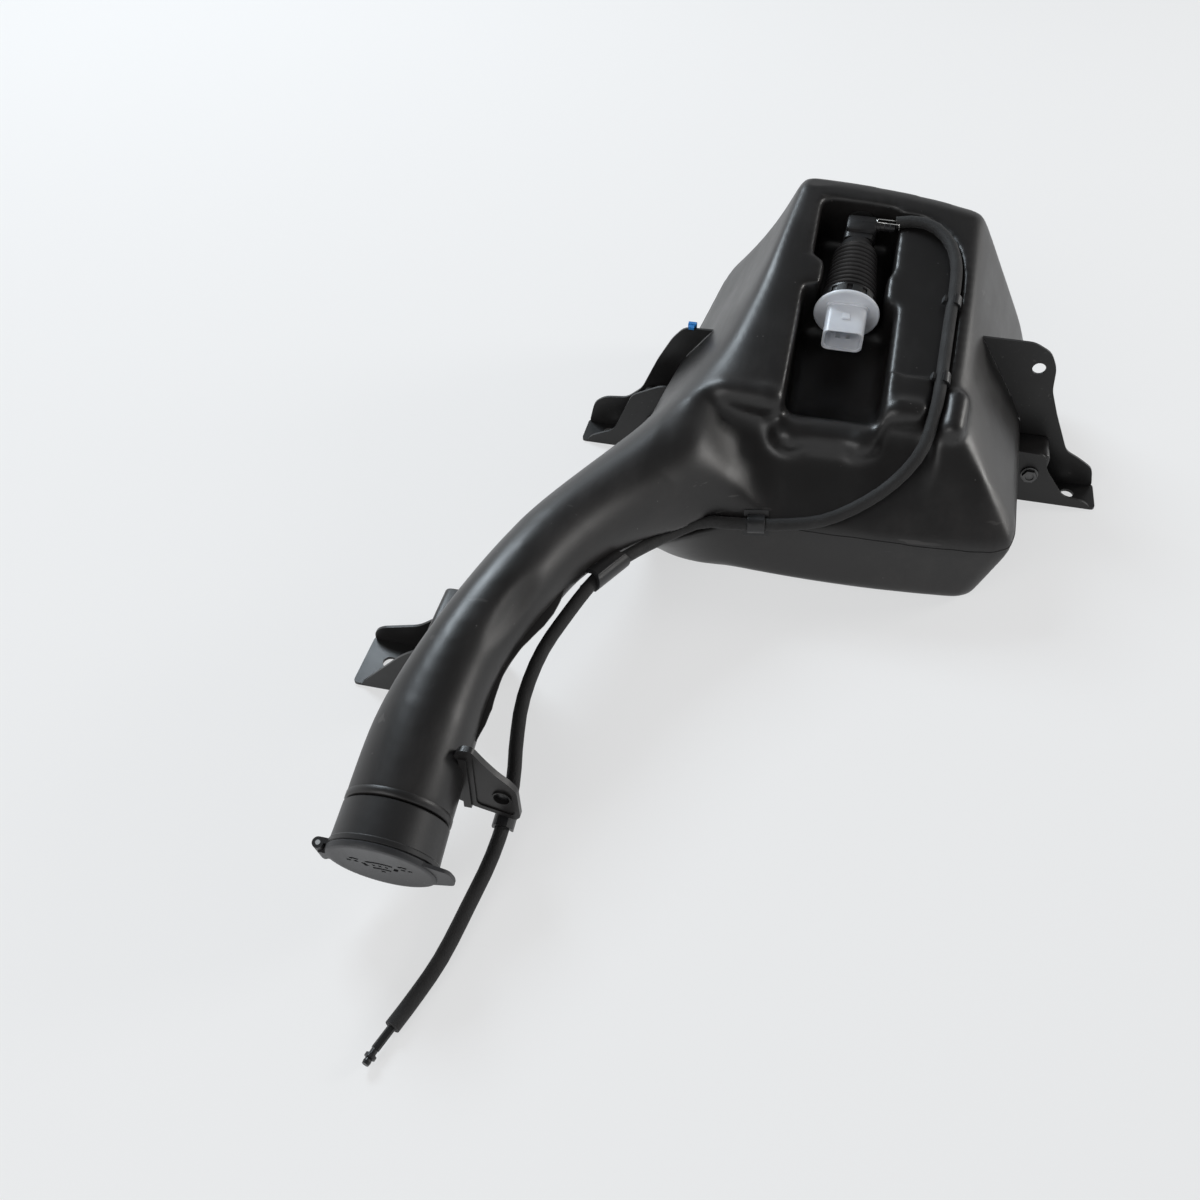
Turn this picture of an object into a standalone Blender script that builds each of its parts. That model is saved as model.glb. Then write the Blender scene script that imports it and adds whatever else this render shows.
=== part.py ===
"""Washer fluid reservoir: blow-moulded tank with a filler neck, hinged lid, washer pump, hose and brackets.

The tank lies on its flat side, with the pump recess in its sloping upper face. Lengths are metres, +Z is up,
+X runs along the line of the two tank brackets and -Y points along the filler neck to the lid.
"""

import math

import bmesh
import bpy
from mathutils import Matrix, Vector

MM = 0.001
GAP = 0.3 * MM

# Tank shell
WALL = 3.0 * MM
TANK_HEIGHT = 161 * MM
FACE_ANGLE = math.radians(15)
FACE_CANT = 0.052
FACE_ORIGIN = Vector((-86, 157, 0)) * MM
SHELL_LEVELS = 2
CAVITY_LEVELS = 1
EDGE_CREASE = 0.50
SEAM_CREASE = 0.45
SHOULDER_CREASE = 0.36
RIDGE_ROUNDING = 5.0 * MM

# Floor outline of the tank at its front, middle and back, left to right
FLOOR_FRONT = [(-166, -42), (-148, -85), (-105, -92), (-15, -95), (61, -87)]
FLOOR_MIDDLE = [(-154, 60), (-105, 60), (-60, 60), (10, 58), (80, 56)]
FLOOR_BACK = [(-135, 180), (-88, 178), (-42, 174), (20, 167), (84, 160)]

# Corners of the sloping upper face, left to right, each with its depth below the face's plane
FACE_FRONT = [(-118, -26, 0), (-84, -46, 1), (-12, -47, 2), (30, -27, 2)]
FACE_MIDDLE = [(-103, 64, 0), (-52, 62, 0), (0, 62, 0), (36, 62, 0)]
FACE_BACK = [(-90, 168, 0), (-42, 169, 0), (5, 165, 0), (37, 157, 0)]

# Parting seam: the widest line of the tank, and its points on the front and the back wall
SEAM_LEFT = [(-174, -38, 60), (-158, 58, 61), (-143, 190, 66)]
SEAM_RIGHT = [(83, -80, 45), (87, 50, 48), (92, 170, 52)]
SEAM_FRONT = [(-96, -93, 48), (-12, -93, 46)]
SEAM_BACK = [(-92, 189, 66), (-42, 184, 62), (30, 177, 57)]
VALLEY = [(-94, -80, 68), (-12, -73, 63), (55, -53, 76)]
SLOPE_LEFT = [(-147, -32, 94), (-127, 60, 102), (-109, 170, 112)]

# Filler neck: centre of each section from the tank to the lid, with its half width and half height
NECK_RADIUS = 28 * MM
NECK_SECTIONS = [
    ((-153, -97, 64), 34, 37),
    ((-176, -131, 70), 27, 29),
    ((-195.5, -172, 75), 24, 26),
    ((-207.5, -216, 75), 24.5, 26.5),
    ((-222, -258, 69), 22.8, 26),
    ((-228.5, -303, 58.5), 27.6, 28),
]
NECK_SIDES = 8
RING_SPREAD = 3 / (2 + math.cos(math.tau / NECK_SIDES))

# Lid and collar, measured along the neck's axis from the collar's outer end
LID_DIP = math.radians(15)
LID_SEAT = Vector((-229, -378, 39.5)) * MM
COLLAR_LENGTH = 24 * MM
COLLAR_FLARE = 0.8 * MM
GROOVE_WIDTH = 0.9 * MM
SPIGOT_RADIUS = NECK_RADIUS - WALL
MOUTH_RADIUS = SPIGOT_RADIUS - 2.7 * MM
LIP_THICKNESS = 3.0 * MM
LID_RADIUS = NECK_RADIUS + MM
LID_THICKNESS = 3.6 * MM
PLUG_DEPTH = 6.0 * MM
PLUG_WALL = 2.0 * MM
SEAL_THICKNESS = 1.2 * MM
KNUCKLE_RADIUS = 3.0 * MM
HINGE_OFFSET = LID_RADIUS + KNUCKLE_RADIUS + 0.2 * MM
BARREL_LENGTH = 9.0 * MM
KNUCKLE_LENGTH = 4.0 * MM
PIN_RADIUS = 1.3 * MM
TAB_LENGTH = 9 * MM
TAB_WIDTH = 24 * MM

# Pump, measured along its axis from the flange's inner face: positive towards the connector
PUMP_X = -46 * MM
PUMP_TAIL_Y = 125 * MM
PUMP_DEPTH = 19 * MM
FLANGE_RADIUS = 22.3 * MM
FLANGE_THICKNESS = 3.5 * MM
SLEEVE_LENGTH = 63 * MM
PUMP_Y = PUMP_TAIL_Y - SLEEVE_LENGTH
SLEEVE_WIDE = 18.4 * MM
SLEEVE_NARROW = 12.6 * MM
SLEEVE_RIBS = 9
RIB_DEPTH = 1.6 * MM
CAN_RADIUS = 10.4 * MM
CAN_WALL = 1.0 * MM
SHAFT_RADIUS = 1.2 * MM
ROTOR_RADIUS = 7.6 * MM
HEAD_RADIUS = 12.2 * MM
HEAD_LENGTH = 20 * MM
HEAD_WALL = 2.0 * MM
CHAMBER_DEPTH = 7 * MM
IMPELLER_RADIUS = 8.6 * MM
IMPELLER_BLADES = 6
NIPPLE_RADIUS = 5.0 * MM
NIPPLE_BORE = 3.0 * MM
NIPPLE_LENGTH = 11 * MM
OUTLET_RADIUS = 3.0 * MM
OUTLET_BORE = 1.8 * MM
OUTLET_RISE = 9.0 * MM
OUTLET_REACH = 24 * MM
GROMMET_RADIUS = 8.0 * MM
GROMMET_FLANGE = 10.5 * MM
CLIP_WIRE = 0.5 * MM

# Connector shroud on the flange
SHROUD_WIDTH = 26 * MM
SHROUD_HEIGHT = 15 * MM
SHROUD_LENGTH = 27 * MM
SHROUD_WALL = 1.6 * MM
SOCKET_DEPTH = 17 * MM
TERMINAL_SPACING = 7.0 * MM
TERMINAL_SIZE = Vector((2.8, 0.8, 12)) * MM

# Pump recess, measured from the pump's axis
RECESS_TAIL = -(SLEEVE_LENGTH + HEAD_LENGTH) / MM - 7
RECESS_TOP = 50 * MM
UPPER_POCKET = dict(left=-29, right=27, tail=RECESS_TAIL, front=-30, floor=-24)
WAIST_POCKET = dict(left=-20, right=23.5, tail=-40, front=4, floor=-24)
LOWER_POCKET = dict(left=-31, right=32, tail=-6, front=135, floor=-29)
POCKET_ROUNDING = 7 * MM

# Ledge that the hose lies on, from the pump's pockets to the rim, in the pump's frame
LEDGE_FLOOR = 10.4
LEDGE_OUTLINE = [(20, RECESS_TAIL + 12), (50, RECESS_TAIL + 11.5), (60, RECESS_TAIL + 17), (69, -58),
                 (73.5, -38), (74, -15), (72.5, 12), (71.5, 50), (66, 60), (40, 62), (20, 52)]
LEDGE_ROUNDING = 2.5 * MM
RAMP_START = 62 * MM
RAMP_KNEE = 84 * MM
RAMP_RISE = 9 * MM
LIP_START = 96 * MM
LIP_HEIGHT = 5 * MM

# Hose
HOSE_RADIUS = 4.0 * MM
CHANNEL_CLEARANCE = 0.8 * MM
TUBE_RADIUS = 2.2 * MM
FITTING_RADIUS = 2.9 * MM
HOSE_SIDES = 3
HOSE_POINT_COUNT = 76
CHANNEL_POINT_COUNT = 46

# Hose in the recess, from the pump's outlet on: each point's place and its depth under the upper face
RECESS_ROUTE = [
    (-21.7, 137.0, 6.9),
    (-10.0, 137.0, 4.2),
    (3.4, 131.5, 1.0),
    (15.5, 118.0, 0.3),
    (21.6, 100.6, 0.8),
    (22.6, 78.0, 0.7),
    (21.3, 50.0, 0.7),
    (20.2, 13.8, 1.1),
    (19.6, -8.1, 1.3),
    (18.2, -25.5, 3.1),
]

# Hose from there over the front slope and along the neck to the end of the foam sleeve
OUTER_ROUTE = [
    (12.4, -52.8, 89.6),
    (-6.3, -73.1, 72.3),
    (-35.1, -89.4, 58.1),
    (-60.9, -95.3, 52.7),
    (-92.1, -99.2, 50.3),
    (-115.2, -100.0, 48.0),
    (-135.5, -119.0, 48.0),
    (-153.0, -148.5, 55.0),
    (-165.5, -177.0, 61.0),
    (-178.0, -213.0, 57.0),
    (-185.5, -238.0, 51.0),
    (-188.6, -264.0, 41.0),
    (-186.3, -287.3, 31.0),
    (-183.3, -305.0, 22.5),
    (-182.4, -325.0, 16.2),
    (-183.8, -348.1, 11.0),
    (-187.6, -371.8, 7.2),
    (-193.2, -406.1, 4.6),
    (-201.4, -434.6, 4.3),
    (-204.6, -444.0, 4.3),
]
CHANNEL_ROUTE_COUNT = 19
TUBE_ROUTE = [(-204.8, -444.6, 4.3), (-206.6, -450.0, 4.3), (-208.6, -456.0, 4.3)]
FITTING_END = Vector((-210.6, -464.0, 4.3)) * MM

# Hose clips: place along the route as a share of it, length along the hose, and wall
CLIP_WALL = 1.6 * MM
RIM_CLIPS = {"upper_rim_clip": 0.135, "lower_rim_clip": 0.225}
RIM_CLIP_LENGTH = 11 * MM
BRIDGE_PLACE = 0.455
BRIDGE_LENGTH = 15 * MM
SLEEVE_CLIP_PLACE = 0.605
SLEEVE_CLIP_LENGTH = 24 * MM
LUG_CLIP_PLACE = 0.842
LUG_CLIP_LENGTH = 9 * MM

# Brackets: pressed channel arms with a tall rear wall, a low front wall and a floor
SHEET = 2.0 * MM
SCREW_RADIUS = 3.0 * MM
SCREW_HEAD = 6.0 * MM
SCREW_HEAD_HEIGHT = 4.0 * MM
BOLT_HOLE = 4.5 * MM

LEFT_FRONT_Y = 27 * MM
LEFT_REAR_Y = 52 * MM
LEFT_END = -225.5
LEFT_REAR_WALL = [(-120, 95), (-156, 93.5), (-164, 84), (-174, 65), (-185, 38), (LEFT_END + 29.5, 28),
                  (LEFT_END + 12.5, 26), (LEFT_END + 4.5, 20), (LEFT_END + 0.5, 1), (-140, 1)]
LEFT_FRONT_WALL = [(-140, 58), (-167, 58), (-188, 47), (LEFT_END + 24.5, 14), (LEFT_END + 7.5, 6),
                   (LEFT_END + 3.5, 1), (-140, 1)]
LEFT_REACH = (LEFT_END, -145)
LEFT_HOLE = (LEFT_END + 18.5, 40)
LEFT_SCREW = (-171, 26)

RIGHT_FRONT_Y = 30 * MM
RIGHT_REAR_Y = 57 * MM
RIGHT_END = 147.5
RIGHT_REAR_WALL = [(40, 112), (80, 112), (92, 106), (98, 95), (100, 77), (108, 58), (RIGHT_END - 25.5, 29),
                   (RIGHT_END - 15.5, 24), (RIGHT_END - 4.5, 17), (RIGHT_END - 0.5, 1), (75, 1)]
RIGHT_FRONT_WALL = [(75, 42), (104, 41), (108, 28), (RIGHT_END - 23.5, 8), (RIGHT_END - 8.5, 6),
                    (RIGHT_END - 2.5, 1), (75, 1)]
RIGHT_REACH = (75, RIGHT_END)
RIGHT_HOLE = (RIGHT_END - 18.5, 43)
RIGHT_SCREW = (97, 24)
RIGHT_TOP_HOLE = (87, 93)

NECK_FRONT_Y = -241 * MM
NECK_REAR_Y = -202 * MM
NECK_END = -304.5
NECK_REAR_WALL = [(-206, 67), (-236, 67), (-247, 53), (-259, 31), (NECK_END + 31.5, 20), (NECK_END + 6.5, 13),
                  (NECK_END + 1.5, 9), (NECK_END + 0.5, 1), (-220, 1), (-212, 30)]
NECK_FRONT_WALL = [(-228, 42), (-262, 39), (NECK_END + 33.5, 32), (NECK_END + 4.5, 1), (-228, 1)]
NECK_REACH = (NECK_END, -227)
NECK_HOLE = (NECK_END + 16.5, -221)
NECK_SCREW = (-240, 24)

# Moulded lugs on the shell that the brackets and the lug clip hold on to: x range and z range
LEFT_LUG = (-182, -140, 12, 42)
RIGHT_LUG = (70, 108, 10, 40)
NECK_LUG = (-252, -228, 12, 60)
HOSE_LUG_Y = -327 * MM
HOSE_LUG_OUTLINE = [(-218, 78), (-196, 75), (-187, 68), (-179, 55), (-174, 46), (-173, 24), (-222, 23)]
HOSE_LUG_THICKNESS = 3.5 * MM
HOSE_LUG_HOLE = (-181, 39)
HOSE_LUG_HOLE_RADIUS = 4.2 * MM

# Blue clip that straddles the top of the left bracket's rear wall
BLUE_CLIP_X = -151 * MM
BLUE_CLIP_SIZE = Vector((7, 9, 12)) * MM


def clear_scene():
    for obj in list(bpy.data.objects):
        bpy.data.objects.remove(obj, do_unlink=True)


def make_collections():
    """The parts' collection, and one for the cutters that no render shows."""
    parts = bpy.data.collections.new("washer_fluid_reservoir")
    cutters = bpy.data.collections.new("cutters")
    for collection in (parts, cutters):
        bpy.context.scene.collection.children.link(collection)
    return parts, cutters


clear_scene()
PARTS, CUTTERS = make_collections()


def material(name, colour, roughness, metallic=0.0):
    made = bpy.data.materials.new(name)
    made.use_nodes = True
    shader = made.node_tree.nodes["Principled BSDF"]
    shader.inputs["Base Color"].default_value = (*colour, 1.0)
    shader.inputs["Roughness"].default_value = roughness
    shader.inputs["Metallic"].default_value = metallic
    return made


BLACK_PLASTIC = dict(colour=(0.018, 0.018, 0.019), roughness=0.42)
BLACK_RUBBER = dict(colour=(0.012, 0.012, 0.012), roughness=0.62)
BLACK_STEEL = dict(colour=(0.015, 0.015, 0.016), roughness=0.38, metallic=0.3)
WHITE_PLASTIC = dict(colour=(0.78, 0.79, 0.82), roughness=0.4)
FOAM = dict(colour=(0.014, 0.014, 0.015), roughness=0.85)
BRIGHT_STEEL = dict(colour=(0.72, 0.72, 0.7), roughness=0.25, metallic=1.0)
BLUE_PLASTIC = dict(colour=(0.02, 0.16, 0.6), roughness=0.45)
COPPER = dict(colour=(0.72, 0.4, 0.25), roughness=0.35, metallic=1.0)


def add_object(name, mesh, parent=None, look=None, location=(0, 0, 0), rotation=(0, 0, 0)):
    """Adds a part, or a cutter where no look is given, under its parent."""
    obj = bpy.data.objects.new(name, mesh)
    obj.parent = parent
    obj.location = location
    obj.rotation_euler = rotation
    if look is None:
        obj.hide_render = True
        obj.display_type = "WIRE"
        CUTTERS.objects.link(obj)
    else:
        obj.data.materials.append(material(name, **look))
        PARTS.objects.link(obj)
    return obj


def frame(name, location, rotation=(0, 0, 0), parent=None):
    empty = bpy.data.objects.new(name, None)
    empty.location = location
    empty.rotation_euler = rotation
    empty.parent = parent
    PARTS.objects.link(empty)
    return empty


def boolean(obj, other, operation="DIFFERENCE"):
    modifier = obj.modifiers.new(other.name, "BOOLEAN")
    modifier.operation = operation
    modifier.solver = "EXACT"
    modifier.object = other
    return modifier


def bevel(obj, width, segments=2, angle=30):
    modifier = obj.modifiers.new("rounding", "BEVEL")
    modifier.width = width
    modifier.segments = segments
    modifier.limit_method = "ANGLE"
    modifier.angle_limit = math.radians(angle)
    return modifier


def mesh_from_bmesh(name, bm, smooth=False):
    mesh = bpy.data.meshes.new(name)
    bm.to_mesh(mesh)
    bm.free()
    if smooth:
        mesh.shade_smooth()
        mesh.set_sharp_from_angle(angle=math.radians(35))
    return mesh


def box_mesh(name, low, high):
    """A box between two opposite corners."""
    bm = bmesh.new()
    bmesh.ops.create_cube(bm, size=1)
    low, high = Vector(low), Vector(high)
    bmesh.ops.scale(bm, vec=high - low, verts=bm.verts)
    bmesh.ops.translate(bm, vec=(low + high) / 2, verts=bm.verts)
    return mesh_from_bmesh(name, bm)


def cylinder_mesh(name, radius, low, high, segments=24, end_radius=None):
    """A cylinder or cone along Z from low to high."""
    bm = bmesh.new()
    top = radius if end_radius is None else end_radius
    bmesh.ops.create_cone(bm, cap_ends=True, segments=segments, radius1=radius, radius2=top, depth=high - low)
    bmesh.ops.translate(bm, vec=(0, 0, (low + high) / 2), verts=bm.verts)
    return mesh_from_bmesh(name, bm, smooth=True)


def turned_mesh(name, profile, segments=32):
    """A profile of (radius, z) points turned about Z, closed through a bore or the axis."""
    mesh = bpy.data.meshes.new(name)
    on_axis = profile[0][0] == 0
    edges = [(i, i + 1) for i in range(len(profile) - 1)]
    if not on_axis:
        edges.append((len(profile) - 1, 0))
    mesh.from_pydata([(r, 0, z) for r, z in profile], edges, [])
    guide = add_object(name + "_profile", mesh)
    screw = guide.modifiers.new("turn", "SCREW")
    screw.steps = segments
    screw.render_steps = segments
    screw.use_merge_vertices = True
    screw.merge_threshold = 0.00001
    return applied_mesh(guide, name)


def applied_mesh(guide, name):
    """The evaluated mesh of a guide object, welded; the guide is removed."""
    bpy.context.view_layer.update()
    graph = bpy.context.evaluated_depsgraph_get()
    mesh = bpy.data.meshes.new_from_object(guide.evaluated_get(graph))
    mesh.name = name
    bpy.data.objects.remove(guide, do_unlink=True)
    bm = bmesh.new()
    bm.from_mesh(mesh)
    bmesh.ops.remove_doubles(bm, verts=bm.verts, dist=0.000002)
    bmesh.ops.recalc_face_normals(bm, faces=bm.faces)
    bm.to_mesh(mesh)
    bm.free()
    mesh.shade_smooth()
    mesh.set_sharp_from_angle(angle=math.radians(35))
    return mesh


def circle_points(centre, radius, count=16):
    x, y = centre[0], centre[1]
    return [(x + radius * math.cos(math.tau * i / count), y + radius * math.sin(math.tau * i / count))
            for i in range(count)]


def arc_points(radius, start, end, count):
    """Points on an arc about the origin, angles in degrees."""
    angles = [math.radians(start + (end - start) * i / (count - 1)) for i in range(count)]
    return [(radius * math.cos(a), radius * math.sin(a)) for a in angles]


def filleted(outline, radius, steps=3):
    """The outline with each corner rounded by a short curve."""
    rounded = []
    count = len(outline)
    for i, corner in enumerate(outline):
        corner = Vector(corner)
        before = Vector(outline[i - 1]) - corner
        after = Vector(outline[(i + 1) % count]) - corner
        reach = min(radius, before.length * 0.45, after.length * 0.45)
        start = corner + before.normalized() * reach
        end = corner + after.normalized() * reach
        for step in range(steps + 1):
            t = step / steps
            point = start * (1 - t) ** 2 + corner * 2 * t * (1 - t) + end * t ** 2
            rounded.append((point.x, point.y))
    return rounded


def plate_mesh(name, outline, thickness, holes=()):
    """A flat outline in XY, extruded to a plate centred on its plane."""
    curve = bpy.data.curves.new(name, "CURVE")
    curve.dimensions = "2D"
    curve.fill_mode = "BOTH"
    curve.extrude = thickness / 2
    for ring in (outline, *holes):
        spline = curve.splines.new("POLY")
        spline.points.add(len(ring) - 1)
        for point, (x, y) in zip(spline.points, ring):
            point.co = (x, y, 0, 1)
        spline.use_cyclic_u = True
    return applied_mesh(add_object(name + "_outline", curve), name)


def hose_route():
    """All the points that the hose goes through, in millimetres."""
    lifted = [(x, y, face_height(x * MM, y * MM) / MM - depth) for x, y, depth in RECESS_ROUTE]
    return lifted + OUTER_ROUTE


def smooth_route(points, count):
    """Evenly counted points on a Catmull-Rom curve through the route's own points."""
    route = [Vector(p) * MM for p in points]
    padded = [2 * route[0] - route[1], *route, 2 * route[-1] - route[-2]]
    fine = []
    for i in range(1, len(padded) - 2):
        a, b, c, d = padded[i - 1:i + 3]
        for step in range(12):
            t = step / 12
            fine.append(0.5 * (2 * b + (c - a) * t + (2 * a - 5 * b + 4 * c - d) * t ** 2
                               + (3 * b - a - 3 * c + d) * t ** 3))
    fine.append(route[-1])
    lengths = [0.0]
    for a, b in zip(fine, fine[1:]):
        lengths.append(lengths[-1] + (b - a).length)
    placed = []
    index = 0
    for i in range(count):
        target = lengths[-1] * i / (count - 1)
        while index < len(fine) - 2 and lengths[index + 1] < target:
            index += 1
        share = (target - lengths[index]) / (lengths[index + 1] - lengths[index])
        placed.append(fine[index].lerp(fine[index + 1], share))
    return placed


def tube_curve(name, points, radius):
    """A round tube as a curve with filled caps."""
    curve = bpy.data.curves.new(name, "CURVE")
    curve.dimensions = "3D"
    curve.bevel_depth = radius
    curve.bevel_resolution = HOSE_SIDES
    curve.use_fill_caps = True
    spline = curve.splines.new("POLY")
    spline.points.add(len(points) - 1)
    for point, place in zip(spline.points, points):
        point.co = (*place, 1)
    return curve


def tube_mesh(name, points, radius):
    return applied_mesh(add_object(name + "_path", tube_curve(name, points, radius)), name)


def face_height(x, y):
    """Height of the sloping upper face above the floor."""
    fall = math.tan(FACE_ANGLE) * (FACE_ORIGIN.y - y)
    return TANK_HEIGHT - FACE_CANT * (x - FACE_ORIGIN.x) - fall


ROOT = frame("reservoir_origin", (0, 0, 0))
PUMP = frame(
    "pump_axis",
    (PUMP_X, PUMP_Y, face_height(PUMP_X, PUMP_Y) - PUMP_DEPTH / math.cos(FACE_ANGLE)),
    (math.pi / 2 + FACE_ANGLE, 0, 0),
    ROOT,
)
LID_FRAME = frame("lid_seat", LID_SEAT, (math.pi / 2 + LID_DIP, 0, 0), ROOT)
NECK_AXIS = Vector((0, -math.cos(LID_DIP), -math.sin(LID_DIP)))


def body_ring(floor, right, top, slope, left):
    """A section of the tank's cage: along the floor, up the right, back over the face, down the left."""
    ring = [Vector((x, y, 0)) * MM for x, y in floor]
    ring.append(Vector(right) * MM)
    for x, y, drop in reversed(top):
        ring.append(Vector((x * MM, y * MM, face_height(x * MM, y * MM) - drop * MM)))
    ring.append(Vector(slope) * MM)
    ring.append(Vector(left) * MM)
    return ring


def neck_rings():
    """Sections of the neck's cage, each square to the neck's centre line."""
    end = LID_SEAT - NECK_AXIS * COLLAR_LENGTH
    before_end = end - NECK_AXIS * NECK_RADIUS
    sections = [(Vector(c) * MM, w * MM, h * MM) for c, w, h in NECK_SECTIONS]
    sections += [(before_end, NECK_RADIUS, NECK_RADIUS), (end, NECK_RADIUS, NECK_RADIUS)]
    centres = [Vector((-140, -50, 60)) * MM] + [s[0] for s in sections]
    centres.append(end + NECK_AXIS * NECK_RADIUS)
    rings = []
    for i, (centre, width, height) in enumerate(sections):
        along = (centres[i + 2] - centres[i]).normalized()
        across = Vector((0, 0, 1)).cross(along).normalized()
        up = along.cross(across)
        ring = []
        for side in range(NECK_SIDES):
            angle = math.pi - math.tau * side / NECK_SIDES
            spoke = across * width * math.cos(angle) + up * height * math.sin(angle)
            ring.append(centre + RING_SPREAD * spoke)
        rings.append(ring)
    return rings


def tank_cage():
    """The coarse cage of tank and neck, with creases on the moulded edges."""
    bm = bmesh.new()
    crease = bm.edges.layers.float.new("crease_edge")
    front = body_ring(FLOOR_FRONT, SEAM_RIGHT[0], FACE_FRONT, SLOPE_LEFT[0], SEAM_LEFT[0])
    middle = body_ring(FLOOR_MIDDLE, SEAM_RIGHT[1], FACE_MIDDLE, SLOPE_LEFT[1], SEAM_LEFT[1])
    back = body_ring(FLOOR_BACK, SEAM_RIGHT[2], FACE_BACK, SLOPE_LEFT[2], SEAM_LEFT[2])
    front, middle, back = ([bm.verts.new(p) for p in ring] for ring in (front, middle, back))
    count = len(front)
    for near, far in ((front, middle), (middle, back)):
        for i in range(count):
            if (near, i) != (front, 5):
                bm.faces.new((near[i], near[(i + 1) % count], far[(i + 1) % count], far[i]))

    def fill(lower, upper):
        for i in range(len(lower) - 1):
            bm.faces.new((lower[i], lower[i + 1], upper[i + 1], upper[i]))

    back_seam = [back[11], *(bm.verts.new(Vector(p) * MM) for p in SEAM_BACK), back[5]]
    fill(back[0:5], back_seam)
    fill(back_seam, [back[10], back[9], back[8], back[7], back[6]])
    front_seam = [*(bm.verts.new(Vector(p) * MM) for p in SEAM_FRONT), front[5]]
    valley = [bm.verts.new(Vector(p) * MM) for p in VALLEY]
    fill(front[2:5], front_seam)
    fill(front_seam, valley)
    fill(valley, [front[8], front[7], front[6]])
    bm.faces.new((front[5], middle[5], middle[6], front[6], valley[2]))

    border = [front[11], front[10], front[9], front[8], front_seam[0], front[2], front[1], front[0]]
    for points in neck_rings():
        ring = [bm.verts.new(p) for p in points]
        for i in range(NECK_SIDES):
            j = (i + 1) % NECK_SIDES
            between = [valley[0]] if border[i] == front[8] else []
            bm.faces.new((border[i], *between, border[j], ring[j], ring[i]))
        border = ring
    bm.faces.new(border)
    bmesh.ops.recalc_face_normals(bm, faces=bm.faces)

    def crease_line(line, value, closed=False):
        pairs = list(zip(line, line[1:]))
        if closed:
            pairs.append((line[-1], line[0]))
        for a, b in pairs:
            bm.edges.get((a, b))[crease] = value

    for corner in (0, 4, 6, 9):
        crease_line([front[corner], middle[corner], back[corner]], EDGE_CREASE)
    crease_line([front[9], middle[9]], SHOULDER_CREASE)
    crease_line([front[0], middle[0]], SHOULDER_CREASE)
    for side in (5, 11):
        crease_line([front[side], middle[side], back[side]], SEAM_CREASE)
    crease_line(back, EDGE_CREASE, closed=True)
    crease_line([*front[0:6], valley[2], front[6]], EDGE_CREASE)
    crease_line([front[8], front[7], front[6]], SHOULDER_CREASE)
    crease_line(front_seam, SEAM_CREASE)
    crease_line(border, 1.0, closed=True)
    return mesh_from_bmesh("tank_cage", bm)


def shell_form(name, mesh, offset, levels, look=None):
    """The smoothed cage, moved outwards by an offset."""
    mesh = mesh.copy()
    mesh.shade_smooth()
    obj = add_object(name, mesh, ROOT, look)
    smooth = obj.modifiers.new("smooth", "SUBSURF")
    smooth.levels = levels
    smooth.render_levels = levels
    if levels == SHELL_LEVELS:
        bevel(obj, RIDGE_ROUNDING, 2, 28)
    if offset:
        swell = obj.modifiers.new("offset", "DISPLACE")
        swell.strength = offset
        swell.mid_level = 0
    return obj


def pocket_cutter(name, pocket, grow):
    """One pocket of the pump recess, in the pump's frame, larger by grow on each side."""
    low = (pocket["left"] * MM - grow, pocket["floor"] * MM - grow, pocket["tail"] * MM - grow)
    high = (pocket["right"] * MM + grow, RECESS_TOP, pocket["front"] * MM + grow)
    cutter = add_object(name, box_mesh(name, low, high), PUMP)
    bevel(cutter, POCKET_ROUNDING + grow, 3)
    return cutter


def lower_pocket_cutter(name, grow):
    """The pocket in front of the connector: its floor ramps up to the lip."""
    pocket = LOWER_POCKET
    floor = pocket["floor"] * MM - grow
    tail = pocket["tail"] * MM - grow
    front = pocket["front"] * MM + grow
    outline = [(tail, RECESS_TOP), (tail, floor), (RAMP_START, floor), (RAMP_KNEE + grow, floor + RAMP_RISE),
               (LIP_START + grow, LIP_HEIGHT - grow), (front, LIP_HEIGHT - grow), (front, RECESS_TOP)]
    width = (pocket["right"] - pocket["left"]) * MM + 2 * grow
    middle = (pocket["right"] + pocket["left"]) * MM / 2
    mesh = plate_mesh(name, outline, width)
    cutter = add_object(name, mesh, PUMP, location=(middle, 0, 0), rotation=(0, -math.pi / 2, 0))
    bevel(cutter, POCKET_ROUNDING + grow, 3, 20)
    return cutter


def grown(outline, amount):
    """The outline, anticlockwise, with each side moved outwards."""
    moved = []
    count = len(outline)
    for i, corner in enumerate(outline):
        corner = Vector(corner)
        before = (corner - Vector(outline[i - 1])).normalized()
        after = (Vector(outline[(i + 1) % count]) - corner).normalized()
        normal = Vector((before.y + after.y, -before.x - after.x)).normalized()
        share = normal.dot(Vector((after.y, -after.x)))
        moved.append(tuple(corner + normal * amount / share))
    return moved


def ledge_cutter(name, grow):
    outline = grown([(u * MM, v * MM) for u, v in LEDGE_OUTLINE], grow)
    floor = LEDGE_FLOOR * MM - grow
    mesh = plate_mesh(name, filleted(outline, 6 * MM, 2), RECESS_TOP - floor)
    place = (0, (RECESS_TOP + floor) / 2, 0)
    cutter = add_object(name, mesh, PUMP, location=place, rotation=(math.pi / 2, 0, 0))
    bevel(cutter, LEDGE_ROUNDING, 2, 60)
    return cutter


def recess_cutters(suffix, grow):
    """All that is pressed into the upper face: three pockets, the hose's ledge and its channel."""
    channel = smooth_route(hose_route()[:CHANNEL_ROUTE_COUNT], CHANNEL_POINT_COUNT)
    radius = HOSE_RADIUS + CHANNEL_CLEARANCE + grow
    return [
        add_object("channel" + suffix, tube_mesh("channel" + suffix, channel, radius), ROOT),
        pocket_cutter("upper_pocket" + suffix, UPPER_POCKET, grow),
        pocket_cutter("waist_pocket" + suffix, WAIST_POCKET, grow),
        lower_pocket_cutter("lower_pocket" + suffix, grow),
        ledge_cutter("ledge" + suffix, grow),
    ]


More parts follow.
